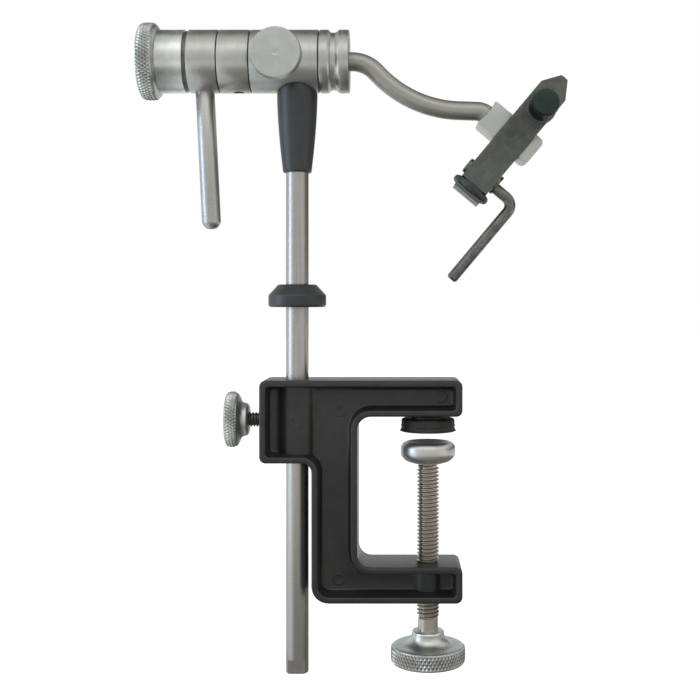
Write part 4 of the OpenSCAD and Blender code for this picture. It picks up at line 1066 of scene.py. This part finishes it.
class VISE_OT_stage(ViseOperator):
    """Set the floor, the soft lights, the white surroundings and the camera"""
    bl_idname = "vise.stage"
    bl_label = "Stage"

    @staticmethod
    def lamp(name, place, size, power, tint):
        """A soft rectangular lamp that shines at the middle of the vise."""
        aim = Vector((-0.02, 0, 0.04))
        data = bpy.data.lights.new(name, "AREA")
        data.shape, data.size, data.size_y = "RECTANGLE", size[0], size[1]
        data.energy, data.color = power, tint
        lamp = show(name, data)
        lamp.location = place
        lamp.rotation_euler = (aim - Vector(place)).to_track_quat("-Z", "Y").to_euler()

    @staticmethod
    def matt(name, points, faces, base, tint):
        """A matt sheet of the studio that glows in a tint, and its shader."""
        mesh = bpy.data.meshes.new(name)
        mesh.from_pydata(points, [], faces)
        material = bpy.data.materials.new(name)
        material.use_nodes = True
        shader = material.node_tree.nodes["Principled BSDF"]
        shader.inputs["Base Color"].default_value = (*base, 1)
        shader.inputs["Specular IOR Level"].default_value = 0.0
        shader.inputs["Emission Color"].default_value = (*tint, 1)
        shader.inputs["Emission Strength"].default_value = 1.0
        mesh.materials.append(material)
        return show(name, mesh), shader

    def card(self, name, turns, inner, outer, tint):
        """A grey studio card that only reflections see: it spans an arc, from an inner to an outer
        (radius, height)."""
        steps = 12
        arcs = [math.radians(turns[0] + (turns[1] - turns[0]) * i / steps) for i in range(steps + 1)]
        points = [(r * math.cos(t), r * math.sin(t), z) for r, z in (inner, outer) for t in arcs]
        faces = [(i, i + 1, steps + 2 + i, steps + 1 + i) for i in range(steps)]
        card, _ = self.matt(name, points, faces, (0, 0, 0), tint)
        card.visible_camera = card.visible_diffuse = card.visible_shadow = False

    @staticmethod
    def seen(tree):
        """1 for what the camera sees, straight or in metal or glass."""
        path = tree.nodes.new("ShaderNodeLightPath")
        total = path.outputs["Is Camera Ray"]
        for ray in ("Is Glossy Ray", "Is Transmission Ray"):
            add = tree.nodes.new("ShaderNodeMath")
            add.operation = "MAXIMUM"
            tree.links.new(total, add.inputs[0])
            tree.links.new(path.outputs[ray], add.inputs[1])
            total = add.outputs[0]
        return total

    def surroundings(self, scene, ambient):
        """A world that lights softly and is seen as plain white."""
        scene.world = bpy.data.worlds.new("white_surroundings")
        scene.world.use_nodes = True
        tree = scene.world.node_tree
        soft, white = tree.nodes["Background"], tree.nodes.new("ShaderNodeBackground")
        for shader, strength in ((soft, ambient), (white, 1.0)):
            shader.inputs["Color"].default_value = (1, 1, 1, 1)
            shader.inputs["Strength"].default_value = strength
        mix = tree.nodes.new("ShaderNodeMixShader")
        for i, output in enumerate((self.seen(tree), soft.outputs[0], white.outputs[0])):
            tree.links.new(output, mix.inputs[i])
        tree.links.new(mix.outputs[0], tree.nodes["World Output"].inputs["Surface"])

    def floor(self, scene, z):
        """A pale floor that glows for the camera, so that it looks white but keeps the shadow."""
        size, strength = 6.0, 0.66
        corners = [(-size, -size, z), (size, -size, z), (size, size, z), (-size, size, z)]
        base, white = scene.vise_colours.floor, (1, 1, 1)
        floor, shader = self.matt("studio_floor", corners, [(0, 1, 2, 3)], base, white)
        shader.inputs["Roughness"].default_value = 0.9
        floor.active_material.name = "pale_floor"
        tree = floor.active_material.node_tree
        glow = tree.nodes.new("ShaderNodeMath")
        glow.operation = "MULTIPLY"
        tree.links.new(self.seen(tree), glow.inputs[0])
        glow.inputs[1].default_value = strength
        tree.links.new(glow.outputs[0], shader.inputs["Emission Strength"])

    def execute(self, context):
        scene = context.scene
        sizes = scene.vise_stage
        self.surroundings(scene, sizes.ambient)
        drop = 0.043                            # low enough for the clamp screw at its lowest
        floor_z = low("post").z * MM - drop
        self.floor(scene, floor_z)

        z, wide = floor_z + 0.0003, 1.8         # the low cards lie just above the floor
        near, middle_ring, far = (0.002, z), (0.16, z), (0.42, z)
        for name, turns, inner, outer, tint in (
            ("front_card", (-140, -40), near, (0.55, z), (0.34, 0.34, 0.32)),
            ("right_card", (-40, 50), near, far, (0.25, 0.24, 0.22)),
            ("back_card", (50, 130), near, far, (0.3, 0.3, 0.28)),
            ("left_near_card", (130, 220), near, middle_ring, (0.45, 0.48, 0.5)),
            ("left_far_card", (130, 220), middle_ring, far, (1.0, 1.08, 1.12)),
            ("front_wall", (-140, -40), (wide, -0.1), (wide, 0.3), (0.7, 0.7, 0.68)),
            ("right_wall", (-35, 68), (wide, -0.1), (wide, 0.7), (0.15, 0.14, 0.13)),
            ("back_wall", (68, 130), (wide, -0.1), (wide, 0.9), (0.85, 0.9, 0.92)),
            ("back_curtain", (50, 130), (wide, 0.9), (wide, 2.5), (0.28, 0.29, 0.3)),
            ("ceiling_card", (20, 160), (wide, 2.5), (0.3, 2.5), (0.14, 0.145, 0.15)),
            ("left_wall", (130, 215), (wide, -0.1), (wide, 0.7), (0.9, 1.0, 1.1)),
        ):
            self.card(name, turns, inner, outer, tint)
        self.lamp("key_light", (-0.1, -0.78, 0.93), (1.7, 0.5), sizes.key, (1, 0.99, 0.97))
        self.lamp("fill_light", (0.9, -0.35, 0.25), (0.5, 0.7), sizes.fill, (1, 0.94, 0.88))
        self.lamp("window_light", (-0.9, -0.25, 0.1), (0.25, 0.9), sizes.cool, (0.64, 0.83, 1))

        data = bpy.data.cameras.new("camera")
        data.lens, data.sensor_width = sizes.lens, 36
        data.shift_x = data.shift_y = -45 / 700     # of the picture's side
        data.clip_start, data.clip_end = 0.02, 20
        camera = show("camera", data)
        camera.location = (-0.0139, -0.464, 0.0531)
        camera.rotation_euler = (math.radians(90), 0, 0)
        scene.camera = camera
        scene.view_settings.view_transform = "Standard"
        return {"FINISHED"}


# Panel and run

STEPS = (
    VISE_OT_casting, VISE_OT_clamp_pad, VISE_OT_pressure_head, VISE_OT_clamp_screw, VISE_OT_thumbscrew,
    VISE_OT_post, VISE_OT_drum, VISE_OT_rear_knob, VISE_OT_lock_knob, VISE_OT_crank_rod, VISE_OT_stem,
    VISE_OT_jaws, VISE_OT_adjuster, VISE_OT_plain_nodes, VISE_OT_stage,
)
GROUPS = {
    "vise_clamp": ViseClampSizes, "vise_knurl": ViseKnurlSizes, "vise_thread": ViseThreadSizes,
    "vise_turning": ViseTurningSizes, "vise_colours": ViseColours, "vise_stage": ViseStageSizes,
}


class VISE_PT_panel(bpy.types.Panel):
    """Lists the steps that build the vise, with their sizes and colours"""
    bl_idname = "VISE_PT_panel"
    bl_label = "Fly Tying Vise"
    bl_space_type = "VIEW_3D"
    bl_region_type = "UI"
    bl_category = "Vise"

    def draw(self, context):
        for step in STEPS:
            self.layout.operator(step.bl_idname)
        for name, group in GROUPS.items():
            box = self.layout.box()
            box.label(text=group.__doc__)
            for field in group.__annotations__:
                box.prop(getattr(context.scene, name), field)


def register():
    for cls in (*GROUPS.values(), *STEPS, VISE_PT_panel):
        bpy.utils.register_class(cls)
    for name, group in GROUPS.items():
        setattr(bpy.types.Scene, name, PointerProperty(type=group))


def unregister():
    for name in GROUPS:
        delattr(bpy.types.Scene, name)
    for cls in (VISE_PT_panel, *reversed(STEPS), *reversed(list(GROUPS.values()))):
        bpy.utils.unregister_class(cls)


def main():
    register()
    for step in STEPS:
        group, name = step.bl_idname.split(".")
        getattr(getattr(bpy.ops, group), name)()


if __name__ == "__main__":
    main()
